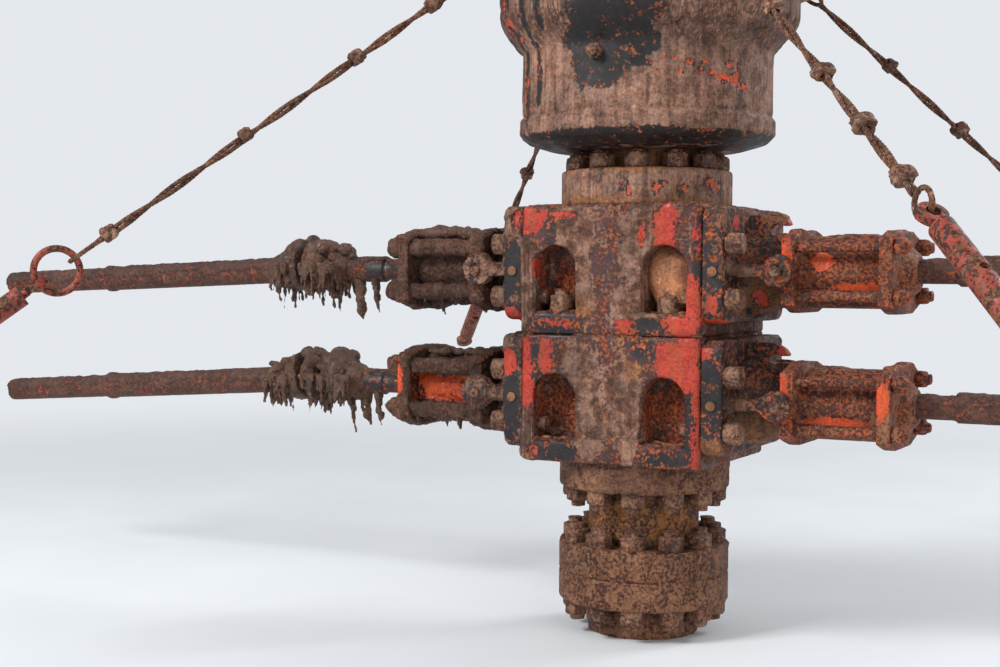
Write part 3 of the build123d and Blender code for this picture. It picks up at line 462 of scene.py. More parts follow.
def dress(name, nodes, skin, keep, cover, crust, look, seed, pits=0.0008, marks=None,
          extra=None):
    """A piece that stands for CAD nodes on one body: an even skin with mud and pitting.

    skin is the size of its faces and keep the share of them that stays, cover is the share under
    mud, crust the mud's thickness and pits the depth of the pitting. marks are patches, and extra
    is a function of points and normals that adds to the mud's level.
    """
    mesh = changed(as_mesh(welded(nodes), name), "REMESH", mode="VOXEL", voxel_size=skin)
    mesh = weathered_mesh(mesh, cover, crust, pits, seed, marks or {}, extra)
    if keep < 1:
        mesh = changed(mesh, "DECIMATE", ratio=keep)
    return finished(name, mesh, look, frame["nodes"][nodes[0]]["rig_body"], nodes)


def crisp(name, nodes, width, look):
    """A piece that stands for CAD nodes on one body, with its edges bevelled."""
    shape = welded(nodes)
    bmesh.ops.dissolve_limit(
        shape, angle_limit=radians(1), verts=shape.verts, edges=shape.edges)
    sharp = [e for e in shape.edges if len(e.link_faces) == 2 and e.calc_face_angle() > SMOOTH_ANGLE]
    bmesh.ops.bevel(shape, geom=sharp, offset=width, segments=2, profile=0.6, affect="EDGES",
                    clamp_overlap=True)
    mesh = as_mesh(shape, name)
    return finished(name, mesh, look, frame["nodes"][nodes[0]]["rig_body"], nodes)


def finished(name, mesh, look, body, nodes=()):
    """The piece's object, with its finish, its body and the nodes that it stands for."""
    mesh.name = name
    piece = placed(name, mesh)
    mesh.materials.clear()
    mesh.materials.append(look)
    mesh.shade_smooth()
    mesh.set_sharp_from_angle(angle=SMOOTH_ANGLE + radians(12))
    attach(piece, body)
    if nodes:
        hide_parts(*nodes)
    return piece


# Node tools

class Graph:
    """Adds shader nodes to a tree and joins them."""

    def __init__(self, tree):
        self.tree = tree

    def node(self, kind, inputs=(), **settings):
        made = self.tree.nodes.new(kind)
        for key, value in settings.items():
            setattr(made, key, value)
        for key, value in dict(inputs).items():
            if isinstance(value, bpy.types.NodeSocket):
                self.tree.links.new(value, made.inputs[key])
            else:
                made.inputs[key].default_value = value
        return made

    def math(self, operation, first, second=0.0, clamp=False):
        made = self.node("ShaderNodeMath", {0: first, 1: second}, operation=operation,
                         use_clamp=clamp)
        return made.outputs[0]

    def vector(self, operation, first, second):
        made = self.node("ShaderNodeVectorMath", {0: first, 1: second}, operation=operation)
        return made.outputs["Value" if operation == "LENGTH" else "Vector"]

    def noise(self, at, scale, detail=4.0, rough=0.55, bend=0.0):
        made = self.node("ShaderNodeTexNoise", {
            "Vector": at, "Scale": scale, "Detail": detail, "Roughness": rough,
            "Distortion": bend})
        return made.outputs["Fac"]

    def step(self, value, low, high, to_low=0.0, to_high=1.0):
        made = self.node("ShaderNodeMapRange", {
            "Value": value, "From Min": low, "From Max": high, "To Min": to_low,
            "To Max": to_high}, interpolation_type="SMOOTHSTEP")
        return made.outputs["Result"]

    def mix(self, share, first, second, blend="MIX"):
        made = self.node("ShaderNodeMix", {0: share, 6: first, 7: second}, data_type="RGBA",
                         blend_type=blend)
        return made.outputs[2]

    def blend(self, share, first, second):
        made = self.node("ShaderNodeMix", {0: share, 2: first, 3: second}, data_type="FLOAT")
        return made.outputs[0]

    def group(self, tree, inputs):
        made = self.node("ShaderNodeGroup", node_tree=tree)
        for key, value in inputs.items():
            if isinstance(value, bpy.types.NodeSocket):
                self.tree.links.new(value, made.inputs[key])
            else:
                made.inputs[key].default_value = value
        return made.outputs


def rgba(value):
    """A colour with full alpha, from a setting."""
    return (value[0], value[1], value[2], 1.0)


def new_group(name, inputs, outputs):
    """A node group with its sockets, and a graph on it."""
    tree = bpy.data.node_groups.new(name, "ShaderNodeTree")
    kinds = {"c": "NodeSocketColor", "f": "NodeSocketFloat", "v": "NodeSocketVector"}
    for socket, (kind, value) in inputs.items():
        made = tree.interface.new_socket(socket, in_out="INPUT", socket_type=kinds[kind])
        made.default_value = value
    for socket, kind in outputs.items():
        tree.interface.new_socket(socket, in_out="OUTPUT", socket_type=kinds[kind])
    graph = Graph(tree)
    return tree, graph, graph.node("NodeGroupInput").outputs, graph.node("NodeGroupOutput").inputs


def cover_group():
    """Turns a noise value into a mask that covers a given share of the surface."""
    tree, graph, given, out = new_group(
        "Ragged cover", {"Value": ("f", 0.5), "Amount": ("f", 0.5), "Softness": ("f", 0.1)},
        {"Mask": "f"})
    spread = graph.step(given["Value"], 0.34, 0.66)
    edge = graph.math("SUBTRACT", 1.0, given["Amount"])
    low = graph.math("SUBTRACT", edge, given["Softness"])
    high = graph.math("ADD", edge, given["Softness"])
    mask = graph.step(spread, low, high)
    inside = graph.step(given["Amount"], 0.0, 0.06)
    graph.tree.links.new(graph.math("MULTIPLY", mask, inside), out["Mask"])
    return tree


def weather_group(cover):
    """Paint over primer and rust, under a film of run mud and a crust of dried mud, with painted shade in
    the hollows.
    """
    tree, graph, given, out = new_group("Weathered steel", {
        "Primer": ("c", (0.03, 0.03, 0.04, 1)), "Paint": ("c", (0.5, 0.05, 0.02, 1)),
        "Rust": ("c", (0.2, 0.08, 0.03, 1)), "Deep Rust": ("c", (0.06, 0.02, 0.01, 1)),
        "Mud": ("c", (0.15, 0.09, 0.06, 1)), "Pale Mud": ("c", (0.3, 0.2, 0.14, 1)),
        "Dark Mud": ("c", (0.04, 0.02, 0.01, 1)), "Bare": ("c", (0.05, 0.04, 0.04, 1)),
        "Stain": ("c", (0.29, 0.12, 0.03, 1)),
        "Paint Cover": ("f", 0.4), "Rust Cover": ("f", 0.4), "Mud Cover": ("f", 0.4),
        "Runs": ("f", 0.5), "Streaks": ("f", 0.3), "Wet": ("f", 0.3), "Grit": ("f", 0.6),
        "Edge Paint": ("f", -0.3)},
        {"Color": "c", "Roughness": "f", "Height": "f"})
    at = graph.node("ShaderNodeTexCoord").outputs["Object"]
    stretched = graph.vector("MULTIPLY", at, (1, 1, 0.08))
    broad = graph.noise(at, 4.5, 4.0, 0.55, 0.4)
    middle = graph.noise(at, 19.0, 7.0, 0.62, 0.3)
    other = graph.noise(graph.vector("ADD", at, (3.1, 1.7, 5.3)), 30.0, 6.0, 0.6, 0.2)
    fine = graph.noise(at, 95.0, 5.0, 0.65)
    grain = graph.noise(at, 330.0, 3.0, 0.6)
    run = graph.noise(stretched, 46.0, 5.0, 0.55)
    line = graph.noise(graph.vector("MULTIPLY", at, (1, 1, 0.025)), 60.0, 2.0, 0.45)
    crust, paint_here, bare_here, mud_here, rust_here, runs_here, stain_here = [
        graph.node("ShaderNodeAttribute", attribute_name=kind).outputs["Fac"]
        for kind in ("crust", *MARKS)]

    def covered(value, amount, softness):
        return graph.group(cover, {"Value": value, "Amount": amount, "Softness": softness})["Mask"]

    def sum_of(*terms):
        total = 0.0
        for value, weight in terms:
            part = graph.math("MULTIPLY", value, weight)
            total = graph.math("ADD", part, total)
        return total

    point = graph.node("ShaderNodeNewGeometry").outputs["Pointiness"]
    rough_point = graph.math("ADD", point, graph.math("MULTIPLY", fine, 0.06))
    worn = graph.step(rough_point, 0.55, 0.62)
    # Painted shade: hollows, where pointiness is low, are darkened in the colour below
    painted_hollow_shade = graph.step(rough_point, 0.515, 0.455)
    kept = graph.math("MULTIPLY", worn, given["Edge Paint"])
    paint_amount = sum_of((given["Paint Cover"], 1.0), (paint_here, 0.66), (bare_here, -0.4),
                          (mud_here, -0.2), (rust_here, 0.12), (kept, 1.0))
    paint = covered(sum_of((middle, 0.35), (fine, 0.4), (run, 0.25)), paint_amount, 0.05)
    # The pocket mark adds dark rust there: rust, and painted shade in the recesses
    rust_amount = sum_of((given["Rust Cover"], 1.0), (rust_here, 0.6), (worn, 0.3),
                         (bare_here, -0.25))
    rust = covered(sum_of((other, 0.6), (fine, 0.4)), rust_amount, 0.16)
    mud_amount = sum_of((given["Mud Cover"], 1.0), (mud_here, 0.6), (paint_here, -1.2),
                        (bare_here, -1.9), (rust_here, -0.6), (worn, -0.3), (broad, 0.7),
                        (0.5, -0.7))
    run_value = graph.blend(given["Runs"], middle, run)
    mud = covered(sum_of((other, 0.25), (run_value, 0.45), (fine, 0.3)), mud_amount, 0.18)
    caked = graph.step(sum_of((crust, 1.0), (fine, 0.5)), 0.62, 0.9)
    caked = graph.math("MULTIPLY", caked, sum_of((1.0, 1.0), (paint_here, -0.8), (bare_here, -0.8)))
    caked = graph.math("MULTIPLY", caked, given["Grit"])

    rust_tone = graph.mix(graph.step(fine, 0.38, 0.62), given["Deep Rust"], given["Rust"])
    coat = graph.mix(bare_here, given["Primer"], given["Bare"])
    under = graph.mix(rust, coat, rust_tone)
    fade = graph.mix(graph.step(run, 0.4, 0.65, 0.0, 0.5), given["Paint"], given["Rust"])
    clean = sum_of((1.0, 1.0), (paint_here, -0.6))
    dirt = graph.mix(graph.math("MULTIPLY", clean, graph.step(fine, 0.51, 0.64, 0.0, 0.8)), fade,
                     given["Deep Rust"])
    dirt = graph.mix(graph.math("MULTIPLY", clean, graph.step(broad, 0.42, 0.62, 0.0, 0.5)), dirt,
                     given["Deep Rust"])
    painted = graph.mix(paint, under, dirt)
    film = graph.mix(graph.step(run_value, 0.4, 0.6), given["Mud"], given["Pale Mud"])
    speck = graph.math("MULTIPLY", graph.step(other, 0.52, 0.68, 0.0, 0.8), given["Grit"])
    film = graph.mix(speck, film, given["Dark Mud"])
    stain = graph.math("MULTIPLY", stain_here, graph.step(middle, 0.36, 0.6, 0.15, 0.9))
    film = graph.mix(stain, film, given["Stain"])
    filmed = graph.mix(graph.math("MULTIPLY", mud, 0.86), painted, film)
    lump = graph.mix(graph.step(fine, 0.36, 0.64), given["Dark Mud"], given["Mud"])
    lump = graph.mix(graph.step(middle, 0.46, 0.66, 0.0, 0.8), lump, given["Pale Mud"])
    caked_on = graph.mix(graph.math("MULTIPLY", caked, 0.9), filmed, lump)
    lines = graph.math("MULTIPLY", graph.step(line, 0.56, 0.61), given["Streaks"])
    crossing = graph.math("ABSOLUTE", graph.math("SUBTRACT", line, 0.5), 0.0)
    grooves = graph.math("MULTIPLY", graph.step(crossing, 0.085, 0.03),
                         graph.step(fine, 0.3, 0.5, 0.3, 0.75))
    grooves = graph.math("MULTIPLY", runs_here, grooves)
    streak = graph.math("MAXIMUM", lines, grooves)
    lined = graph.mix(streak, caked_on, given["Dark Mud"])
    wet = graph.math("MULTIPLY", graph.step(middle, 0.46, 0.62), given["Wet"])
    # Random tone from grain and noise, times painted shade in the hollows and darker wet patches
    shade = graph.math("MULTIPLY", graph.step(grain, 0.25, 0.75, 0.68, 1.28),
                       graph.step(broad, 0.3, 0.7, 0.68, 1.26))
    shade = graph.math("MULTIPLY", shade, graph.step(fine, 0.32, 0.68, 0.66, 1.3))
    shade = graph.math("MULTIPLY", shade, sum_of((1.0, 1.0), (painted_hollow_shade, -0.72), (wet, -0.35)))
    toned = graph.mix(1.0, lined, graph.node(
        "ShaderNodeCombineColor", {0: shade, 1: shade, 2: shade}).outputs[0], "MULTIPLY")
    graph.tree.links.new(toned, out["Color"])

    rough = graph.blend(rust, 0.6, 0.85)
    rough = graph.blend(paint, rough, graph.step(fine, 0.3, 0.7, 0.36, 0.6))
    rough = graph.blend(graph.math("MAXIMUM", mud, caked), rough, 0.8)
    rough = graph.math("SUBTRACT", rough, graph.math("MULTIPLY", wet, 0.45), True)
    graph.tree.links.new(rough, out["Roughness"])

    height = sum_of(
        (paint, 0.14), (graph.math("MULTIPLY", rust, fine), 0.4), (mud, 0.2),
        (graph.math("MULTIPLY", mud, run), 0.35), (graph.math("MULTIPLY", caked, other), 1.1),
        (graph.math("MULTIPLY", caked, fine), 0.6), (grain, 0.08), (fine, 0.14), (streak, -0.3))
    graph.tree.links.new(height, out["Height"])
    return tree


def weathered_material(name, tones, values, specular=0.35, bump=0.6, depth=0.005):
    """A Principled material fed by the weathering group, from colour names and cover values."""
    material = bpy.data.materials.new(name)
    material.use_nodes = True
    graph = Graph(material.node_tree)
    shader = material.node_tree.nodes["Principled BSDF"]
    inputs = {socket: rgba(getattr(colours(), key)) for socket, key in zip(TONES, tones)}
    inputs.update(zip(COVERS, values))
    inputs["Stain"] = rgba(colours().ochre)
    looks = graph.group(shared("Weathered steel"), inputs)
    shader.inputs["Specular IOR Level"].default_value = specular
    normal = graph.node("ShaderNodeBump", {
        "Height": looks["Height"], "Strength": bump, "Distance": depth}).outputs["Normal"]
    graph.tree.links.new(looks["Color"], shader.inputs["Base Color"])
    graph.tree.links.new(looks["Roughness"], shader.inputs["Roughness"])
    graph.tree.links.new(normal, shader.inputs["Normal"])
    return material


def shared(name):
    """A shared node group, made on first use."""
    if name not in bpy.data.node_groups:
        if name == "Ragged cover":
            cover_group()
        else:
            weather_group(shared("Ragged cover"))
    return bpy.data.node_groups[name]


# Finishes

# Each finish: eight tones, then how far paint, rust and mud cover it, how much of the mud has run,
# how strong dark streaks are, how wet it is, how gritty and how far paint stays on its edges, then
# specular level, bump strength and depth
TONES = ("Primer", "Paint", "Rust", "Deep Rust", "Mud", "Pale Mud", "Dark Mud", "Bare")
COVERS = ("Paint Cover", "Rust Cover", "Mud Cover", "Runs", "Streaks", "Wet", "Grit", "Edge Paint")
LOOKS = {
    "ram": (("purple_coat", "red_paint", "rust", "deep_rust", "wet_brown", "pale_mud", "dark_mud",
             "primer"), (0.25, 0.48, 0.44, 0.3, 0.0, 0.5, 0.6, -0.2), 0.38, 0.75, 0.006),
    "door_right": (("primer", "red_paint", "rust", "deep_rust", "mud", "umber", "dark_mud", "primer"),
                   (0.3, 0.4, 0.34, 0.4, 0.1, 0.5, 0.5, 0.1), 0.38, 0.7, 0.005),
    "door_left": (("primer", "red_paint", "rust", "dark_mud", "mud", "pale_mud", "dark_mud", "primer"),
                  (0.16, 0.25, 0.55, 0.6, 0.3, 0.4, 0.5, 0.0), 0.36, 0.7, 0.006),
    "cylinder_right": (("deep_rust", "orange_paint", "rust", "deep_rust", "mud", "umber", "deep_rust",
                        "primer"), (0.33, 0.55, 0.36, 0.5, 0.15, 0.4, 0.4, 0.35), 0.4, 0.7, 0.004),
    "cylinder_left": (("dark_mud", "orange_paint", "rust", "deep_rust", "wet_brown", "mud", "dark_mud",
                       "primer"), (0.06, 0.3, 0.62, 0.3, 0.1, 0.5, 0.6, 0.0), 0.36, 0.8, 0.006),
    "annular": (("primer", "orange_paint", "rust", "deep_rust", "mud", "pale_mud", "dark_mud", "tar"),
                (0.06, 0.35, 0.84, 0.45, 0.25, 0.4, 0.3, 0.1), 0.42, 0.6, 0.004),
    "flange": (("deep_rust", "orange_paint", "umber", "deep_rust", "mud", "umber", "deep_rust",
                "primer"), (0.14, 0.6, 0.5, 0.0, 0.0, 0.3, 0.4, 0.0), 0.36, 0.6, 0.004),
    "stud": (("deep_rust", "red_paint", "umber", "deep_rust", "mud", "drab", "deep_rust", "primer"),
             (0.12, 0.5, 0.5, 0.1, 0.0, 0.45, 0.6, 0.1), 0.45, 0.65, 0.003),
    "shaft": (("deep_rust", "red_paint", "rust", "deep_rust", "grey_mud", "wet_brown", "dark_mud",
               "primer"), (0.2, 0.4, 0.5, 0.0, 0.1, 0.4, 0.5, -0.1), 0.42, 0.65, 0.004),
    "mud": (("wet_brown", "ochre", "wet_brown", "dark_mud", "wet_brown", "umber", "dark_mud", "primer"),
            (0.36, 0.3, 0.3, 0.5, 0.1, 1.0, 0.4, 0.1), 0.6, 0.9, 0.007),
    "clod": (("rust", "ochre", "rust", "deep_rust", "umber", "sand", "dark_mud", "primer"),
             (0.1, 0.3, 0.85, 0.3, 0.0, 0.7, 0.25, 0.1), 0.45, 0.7, 0.005),
    "rope": (("deep_rust", "wire", "wire", "deep_rust", "mud", "pale_mud", "dark_mud", "primer"),
             (0.3, 0.6, 0.4, 0.0, 0.0, 0.3, 0.4, 0.0), 0.45, 0.4, 0.002),
    "stay": (("deep_rust", "red_paint", "umber", "deep_rust", "mud", "umber", "dark_mud", "primer"),
             (0.54, 0.5, 0.36, 0.0, 0.0, 0.25, 0.35, -0.2), 0.38, 0.5, 0.003),
    "rubber": (("rubber", "rubber", "rubber", "rubber", "rubber", "mud", "rubber", "rubber"),
               (0.5, 0.3, 0.2, 0.4, 0.0, 0.1, 0.2, 0.0), 0.3, 0.3, 0.002),
    "brass": (("umber", "brass", "brass", "deep_rust", "mud", "ochre", "dark_mud", "primer"),
              (0.5, 0.4, 0.42, 0.0, 0.0, 0.2, 0.4, 0.0), 0.36, 0.4, 0.002),
}
made_looks = {}


def look(name):
    """A finish, made on first use."""
    if name not in made_looks:
        made_looks[name] = weathered_material(f"{name}_finish", *LOOKS[name])
    return made_looks[name]


# Lumps of mud

def blob(shape, centre, radii):
    """Adds a rounded lump."""
    scale = Matrix.Translation(centre) @ Matrix.Diagonal((*radii, 1))
    bmesh.ops.create_icosphere(shape, subdivisions=3, radius=1, matrix=scale)


def join_rings(shape, rings):
    """Joins rings of points into a closed skin."""
    sides = len(rings[0])
    for first, second in zip(rings, rings[1:]):
        for k in range(sides):
            after = (k + 1) % sides
            shape.faces.new((first[k], first[after], second[after], second[k]))
    shape.faces.new(rings[0][::-1])
    shape.faces.new(rings[-1])


def drip(shape, top, drop, radius, lean, sides=7, steps=6):
    """Adds a hanging drip that tapers to a rounded tip."""
    rings = []
    for step in range(steps + 1):
        share = step / steps
        wide = radius * (1 - share) ** 0.55 + radius * 0.12 * sin(7 * share + lean * 9)
        wide = max(wide, radius * 0.3) if share < 1 else radius * 0.12
        middle = Vector(top) + drop * share * Vector((lean * share, 0.4 * lean, -1))
        rings.append([shape.verts.new(middle + Vector((wide * cos(tau * k / sides),
                                                       wide * sin(tau * k / sides), 0)))
                      for k in range(sides)])
    join_rings(shape, rings)


def fringe(shape, draw, first, last, count, drop, radius, depth=0.02):
    """Adds a ragged row of drips between two points."""
    first, last = Vector(first), Vector(last)
    for _ in range(count):
        at = first.lerp(last, draw.random())
        at.y += draw.uniform(-depth, depth)
        size = draw.uniform(0.35, 1)
        drip(shape, at, drop * size * draw.uniform(0.5, 1), radius * draw.uniform(0.6, 1.2),
             draw.uniform(-0.15, 0.15))


def clods(shape, draw, first, last, count, size, lift=0.4):
    """Adds a row of broken clods between two points."""
    first, last = Vector(first), Vector(last)
    for _ in range(count):
        at = first.lerp(last, draw.random())
        at.y += draw.uniform(-1, 1) * size
        part = size * draw.uniform(0.4, 1)
        at.z += part * lift
        blob(shape, at, [part * draw.uniform(*reach) for reach in ((0.6, 1.6), (0.5, 1), (0.35, 0.8))])


def without_crumbs(mesh):
    """The mesh without the crumbs that are loose from its larger parts."""
    shape = bmesh.new()
    shape.from_mesh(mesh)
    left, parts = set(shape.verts), []
    while left:
        part = [left.pop()]
        for vert in part:
            for edge in vert.link_edges:
                other = edge.other_vert(vert)
                if other in left:
                    left.remove(other)
                    part.append(other)
        parts.append(part)
    limit = CRUMB * max(len(part) for part in parts)
    loose = [vert for part in parts if len(part) < limit for vert in part]
    bmesh.ops.delete(shape, geom=loose, context="VERTS")
    shape.to_mesh(mesh)
    shape.free()
    return mesh


def clump(name, shape, body, seed, rough=0.006, keep=0.6, skin=None, material="mud",
          cut=None):
    """One piece of mud made of lumps and drips grown together.

    rough is the height of its bumps, and cut a plane where it ends flat: a centre, the way out
    from it and the gap that stays open.
    """
    bmesh.ops.recalc_face_normals(shape, faces=shape.faces)
    mesh = bpy.data.meshes.new(name)
    shape.to_mesh(mesh)
    shape.free()
    mesh = changed(mesh, "REMESH", mode="VOXEL", voxel_size=skin or sizes().clump_skin)
    mesh = without_crumbs(mesh)
    points, normals = points_of(mesh), normals_of(mesh)
    creases = 1 - 2 * np.abs(fractal(points, 0.03, seed + 5, 3))
    height = rough * (0.7 * fractal(points, 0.05, seed, 4) + 0.45 * creases)
    height += 0.3 * rough * bumps(points, 0.009, seed + 3)
    moved = points + normals * np.maximum(height, -0.4 * rough)[:, None]
    if cut is not None:
        centre, out, gap = cut
        moved += np.maximum(gap - (moved - centre) @ out, 0)[:, None] * out
    move_points(mesh, within_box(moved))
    layer = mesh.attributes.new("crust", "FLOAT", "POINT")
    layer.data.foreach_set("value", np.full(len(points), 0.7, np.float32))
    if keep < 1:
        mesh = changed(mesh, "DECIMATE", ratio=keep)
    return finished(name, mesh, look(material), body)


# Mud on the universal joints. Each half: how it lies along its shaft from the joint (where its
# lumps' middles are, their half lengths, radii and how far above the axis), and its drips
JOINT_GAP = 0.007
DRIP_FRONT = -0.1
DRIP_R = 0.0095
JOINT_ROUGH = 0.0075
JOINT_SKIN = 0.0045
JOINT_MUD = {
    "upper_left": {
        "inner": ([(0.06, 0.08, 0.098, 0.022), (0.165, 0.05, 0.07, 0.018), (0.1, 0.1, 0.075, 0.0)],
                  0.2, 26),
        "outer": ([(0.035, 0.07, 0.1, 0.02), (0.1, 0.06, 0.066, 0.012)], 0.12, 16)},
    "lower_left": {
        "inner": ([(0.045, 0.05, 0.098, 0.026), (0.15, 0.07, 0.094, 0.028), (0.23, 0.06, 0.068, 0.0)],
                  0.26, 30),
        "outer": ([(0.03, 0.07, 0.088, 0.01), (0.12, 0.07, 0.066, 0.006)], 0.16, 20)},
    "upper_right": {
        "inner": ([(0.05, 0.07, 0.062, 0.0), (0.12, 0.06, 0.054, 0.0)], 0.15, 8),
        "outer": ([(0.05, 0.07, 0.062, 0.0), (0.12, 0.06, 0.054, 0.0)], 0.15, 8)},
    "lower_right": {
        "inner": ([(0.05, 0.07, 0.064, 0.0), (0.12, 0.06, 0.054, 0.0)], 0.15, 8),
        "outer": ([(0.05, 0.07, 0.06, 0.0), (0.12, 0.06, 0.054, 0.0)], 0.15, 8)},
}
# Lumps that hang from the lock screws: how far from the middle, their drop and radius
HANGING = {
    "upper_left": [(1.177, 0.16, 0.019), (1.1, 0.13, 0.013), (1.27, 0.1, 0.012)],
    "lower_left": [(1.21, 0.17, 0.011), (1.14, 0.13, 0.015), (1.09, 0.13, 0.013)],
}


def joint_clumps():
    """Mud on the universal joints, half on each side so that both halves can turn."""
    for number, (place, halves) in enumerate(JOINT_MUD.items()):
        level, side_name = place.split("_")
        side = SIDES[side_name]
        centre = np.array((side * JOINT_X, 0.0, AXIS_Z[level]))
        fall = radians(SHAFT_FALL[place])
        ways = {"inner": np.array((-side, 0.0, 0.0)),
                "outer": np.array((side * cos(fall), 0.0, -sin(fall)))}
        for half, (lumps, reach, drips) in halves.items():
            draw = np.random.default_rng(31 + 2 * number + (half == "outer"))
            shape = bmesh.new()
            for along, half_long, r, lift in lumps:
                middle = centre + ways[half] * along + (0, 0, lift)
                blob(shape, middle, (half_long, r, r))
                for _ in range(7):
                    shift = draw.uniform((-0.8, -0.8, 0.1), (0.8, 0.6, 0.9)) * (half_long, r, r)
                    blob(shape, middle + shift, np.array((0.4, 0.35, 0.3)) * r * draw.uniform(0.5, 1.2))
            thick = lumps[0][2]
            near, far = centre + ways[half] * 0.03, centre + ways[half] * reach
            for y, z, drop, share in ((DRIP_FRONT, 0.03, 0.16, 1.2), (0.75 * DRIP_FRONT, 0.0, 0.17, 0.7),
                                      (-0.03, -0.05, 0.12, 0.8), (0.05, -0.04, 0.1, 0.5)):
                scale = thick / 0.1
                rise = (0, y * scale, z * scale)
                fringe(shape, draw, near + rise, far + rise, int(drips * share), drop * scale,
                       DRIP_R, 0.015 * scale)
            if half == "inner":
                for far_x, drop, r in HANGING.get(place, ()):
                    top = np.array((side * far_x, -0.02, centre[2] - 0.03))
                    drip(shape, top, drop, r, -0.12 * side, 9, 8)
                    drip(shape, top + (0.5 * r, 0.01, 0), 0.8 * drop, 0.8 * r, 0.0)
                    for _ in range(5):
                        low = 0.75 * drop * draw.uniform(0.2, 1)
                        shift = draw.uniform(-0.5, 0.5, 3) * r
                        blob(shape, top + shift - (0.1 * side * low, 0, low), (0.9 * r, 0.9 * r, 1.3 * r))
            body = f"lock_screw_{place}" if half == "inner" else f"shaft_{place}"
            clump(f"joint_mud_{half}_{place}", shape, body, 41 + number, JOINT_ROUGH, 0.5, JOINT_SKIN,
                  cut=(centre, ways[half], JOINT_GAP))


# Operators: one for each group of like pieces

class STACK_OT_ram_bodies(bpy.types.Operator):
    """The two ram bodies with mud crust and pitting."""
    bl_idname = "stack.ram_bodies"
    bl_label = "Ram bodies"

    def execute(self, context):
        for level, seed in (("lower", 3), ("upper", 8)):
            dress(f"{level}_body_casting", [f"{level}_ram_body"], sizes().body_skin, 0.5, 0.3,
                  0.6 * sizes().crust, look("ram"), seed, 0.0013, RAM_MARKS)
        return {"FINISHED"}


class STACK_OT_doors(bpy.types.Operator):
    """The four ram doors, thick with mud on the left."""
    bl_idname = "stack.doors"
    bl_label = "Ram doors"

    def execute(self, context):
        for level in AXIS_Z:
            for side, cover, crust in (("left", 0.62, 1.3), ("right", 0.22, 0.6)):
                dress(f"{level}_{side}_door_casting", [f"door_{level}_{side}"], sizes().door_skin, 0.42,
                      cover, crust * sizes().crust, look(f"door_{side}"),
                      17 if level == "lower" else 23, 0.0012, DOOR_MARKS)
        crisp("brass_door_plugs", ["door_plugs"], sizes().edge, look("brass"))
        return {"FINISHED"}


class STACK_OT_cylinders(bpy.types.Operator):
    """Ram cylinders, heads and tie rods: rusty on the right, caked with mud on the left."""
    bl_idname = "stack.cylinders"
    bl_label = "Ram cylinders"

    def execute(self, context):
        for level in AXIS_Z:
            for side, cover, crust in (("left", 0.8, 1.8), ("right", 0.12, 0.6)):
                seed = 29 if level == "lower" else 33
                dress(f"{level}_{side}_barrel", [f"cylinder_{level}_{side}"], sizes().cylinder_skin, 0.42,
                      cover, crust * sizes().crust, look(f"cylinder_{side}"), seed,
                      0.0012, CYLINDER_MARKS)
                dress(f"{level}_{side}_end_plate", [f"cylinder_head_{level}_{side}"],
                      sizes().cylinder_skin, 0.5, cover, crust * sizes().crust,
                      look(f"cylinder_{side}"), seed + 3, 0.0012, CYLINDER_MARKS)
        for side, cover, crust in (("left", 0.85, 1.8), ("right", 0.25, 0.5)):
            dress(f"{side}_rods", [f"tie_rods_{side}"], sizes().nut_skin, 0.4, cover,
                  crust * sizes().crust, look(f"cylinder_{side}"), 47, 0.0008)
        return {"FINISHED"}


class STACK_OT_bolts(bpy.types.Operator):
    """Door bolts, eye bolts and the studs of every flange, with their nuts."""
    bl_idname = "stack.bolts"
    bl_label = "Bolts and studs"

    def execute(self, context):
        skin, crust = sizes().nut_skin, sizes().crust
        for side, cover in (("left", 0.7), ("right", 0.25)):
            dress(f"{side}_door_hex_bolts", [f"door_bolts_{side}"], skin, 0.38, cover, 0.35 * crust,
                  look("stud"), 51)
        for node, name, cover in (("annular_base_studs", "annular_foot_nuts", 0.3),
                                  ("spool_top_studs", "spool_top_nuts", 0.5),
                                  ("spool_base_studs", "spool_foot_nuts", 0.5),
                                  ("pocket_studs", "pocket_nuts", 0.3)):
            dress(name, [node], skin, 0.3, cover, 0.5 * crust, look("stud"), 61)
        crisp("hex_eye_bolts", ["eye_bolts"], sizes().edge, look("stud"))
        threaded_studs()
        return {"FINISHED"}


def threaded_studs():
    """The studs on the cap, with a cut thread and rounded ends."""
    low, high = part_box("top_studs")
    edge, sides = 0.004, 16
    shape = bmesh.new()
    profile = [(0.0, low.z), (0.9 * STUD_R, low.z), (STUD_R, low.z + edge), (STUD_R, CAP_TOP - edge)]
    z = CAP_TOP
    while z < high.z - 1.5 * THREAD_PITCH:
        profile += [(STUD_R, z), (STUD_R - THREAD_DEPTH, z + THREAD_PITCH / 2)]
        z += THREAD_PITCH
    profile += [(STUD_R, high.z - THREAD_PITCH), (0.86 * STUD_R, high.z - 0.25 * edge), (0.0, high.z)]
    for k in range(STUD_COUNT):
        turn = tau * (k + 0.5) / STUD_COUNT
        centre = Vector((STUD_CIRCLE_R * cos(turn), STUD_CIRCLE_R * sin(turn), 0))
        rings = []
        for r, height in profile:
            if r == 0:
                rings.append([shape.verts.new(centre + Vector((0, 0, height)))])
            else:
                rings.append([shape.verts.new(centre + Vector((
                    r * cos(tau * s / sides), r * sin(tau * s / sides), height)))
                    for s in range(sides)])
        for below, above in zip(rings, rings[1:]):
            for s in range(sides):
                t = (s + 1) % sides
                if len(below) == 1:
                    shape.faces.new((below[0], above[t], above[s]))
                elif len(above) == 1:
                    shape.faces.new((below[s], below[t], above[0]))
                else:
                    shape.faces.new((below[s], below[t], above[t], above[s]))
    mesh = as_mesh(shape, "threaded_cap_studs")
    finished("threaded_cap_studs", mesh, look("stud"), "root", ["top_studs"])


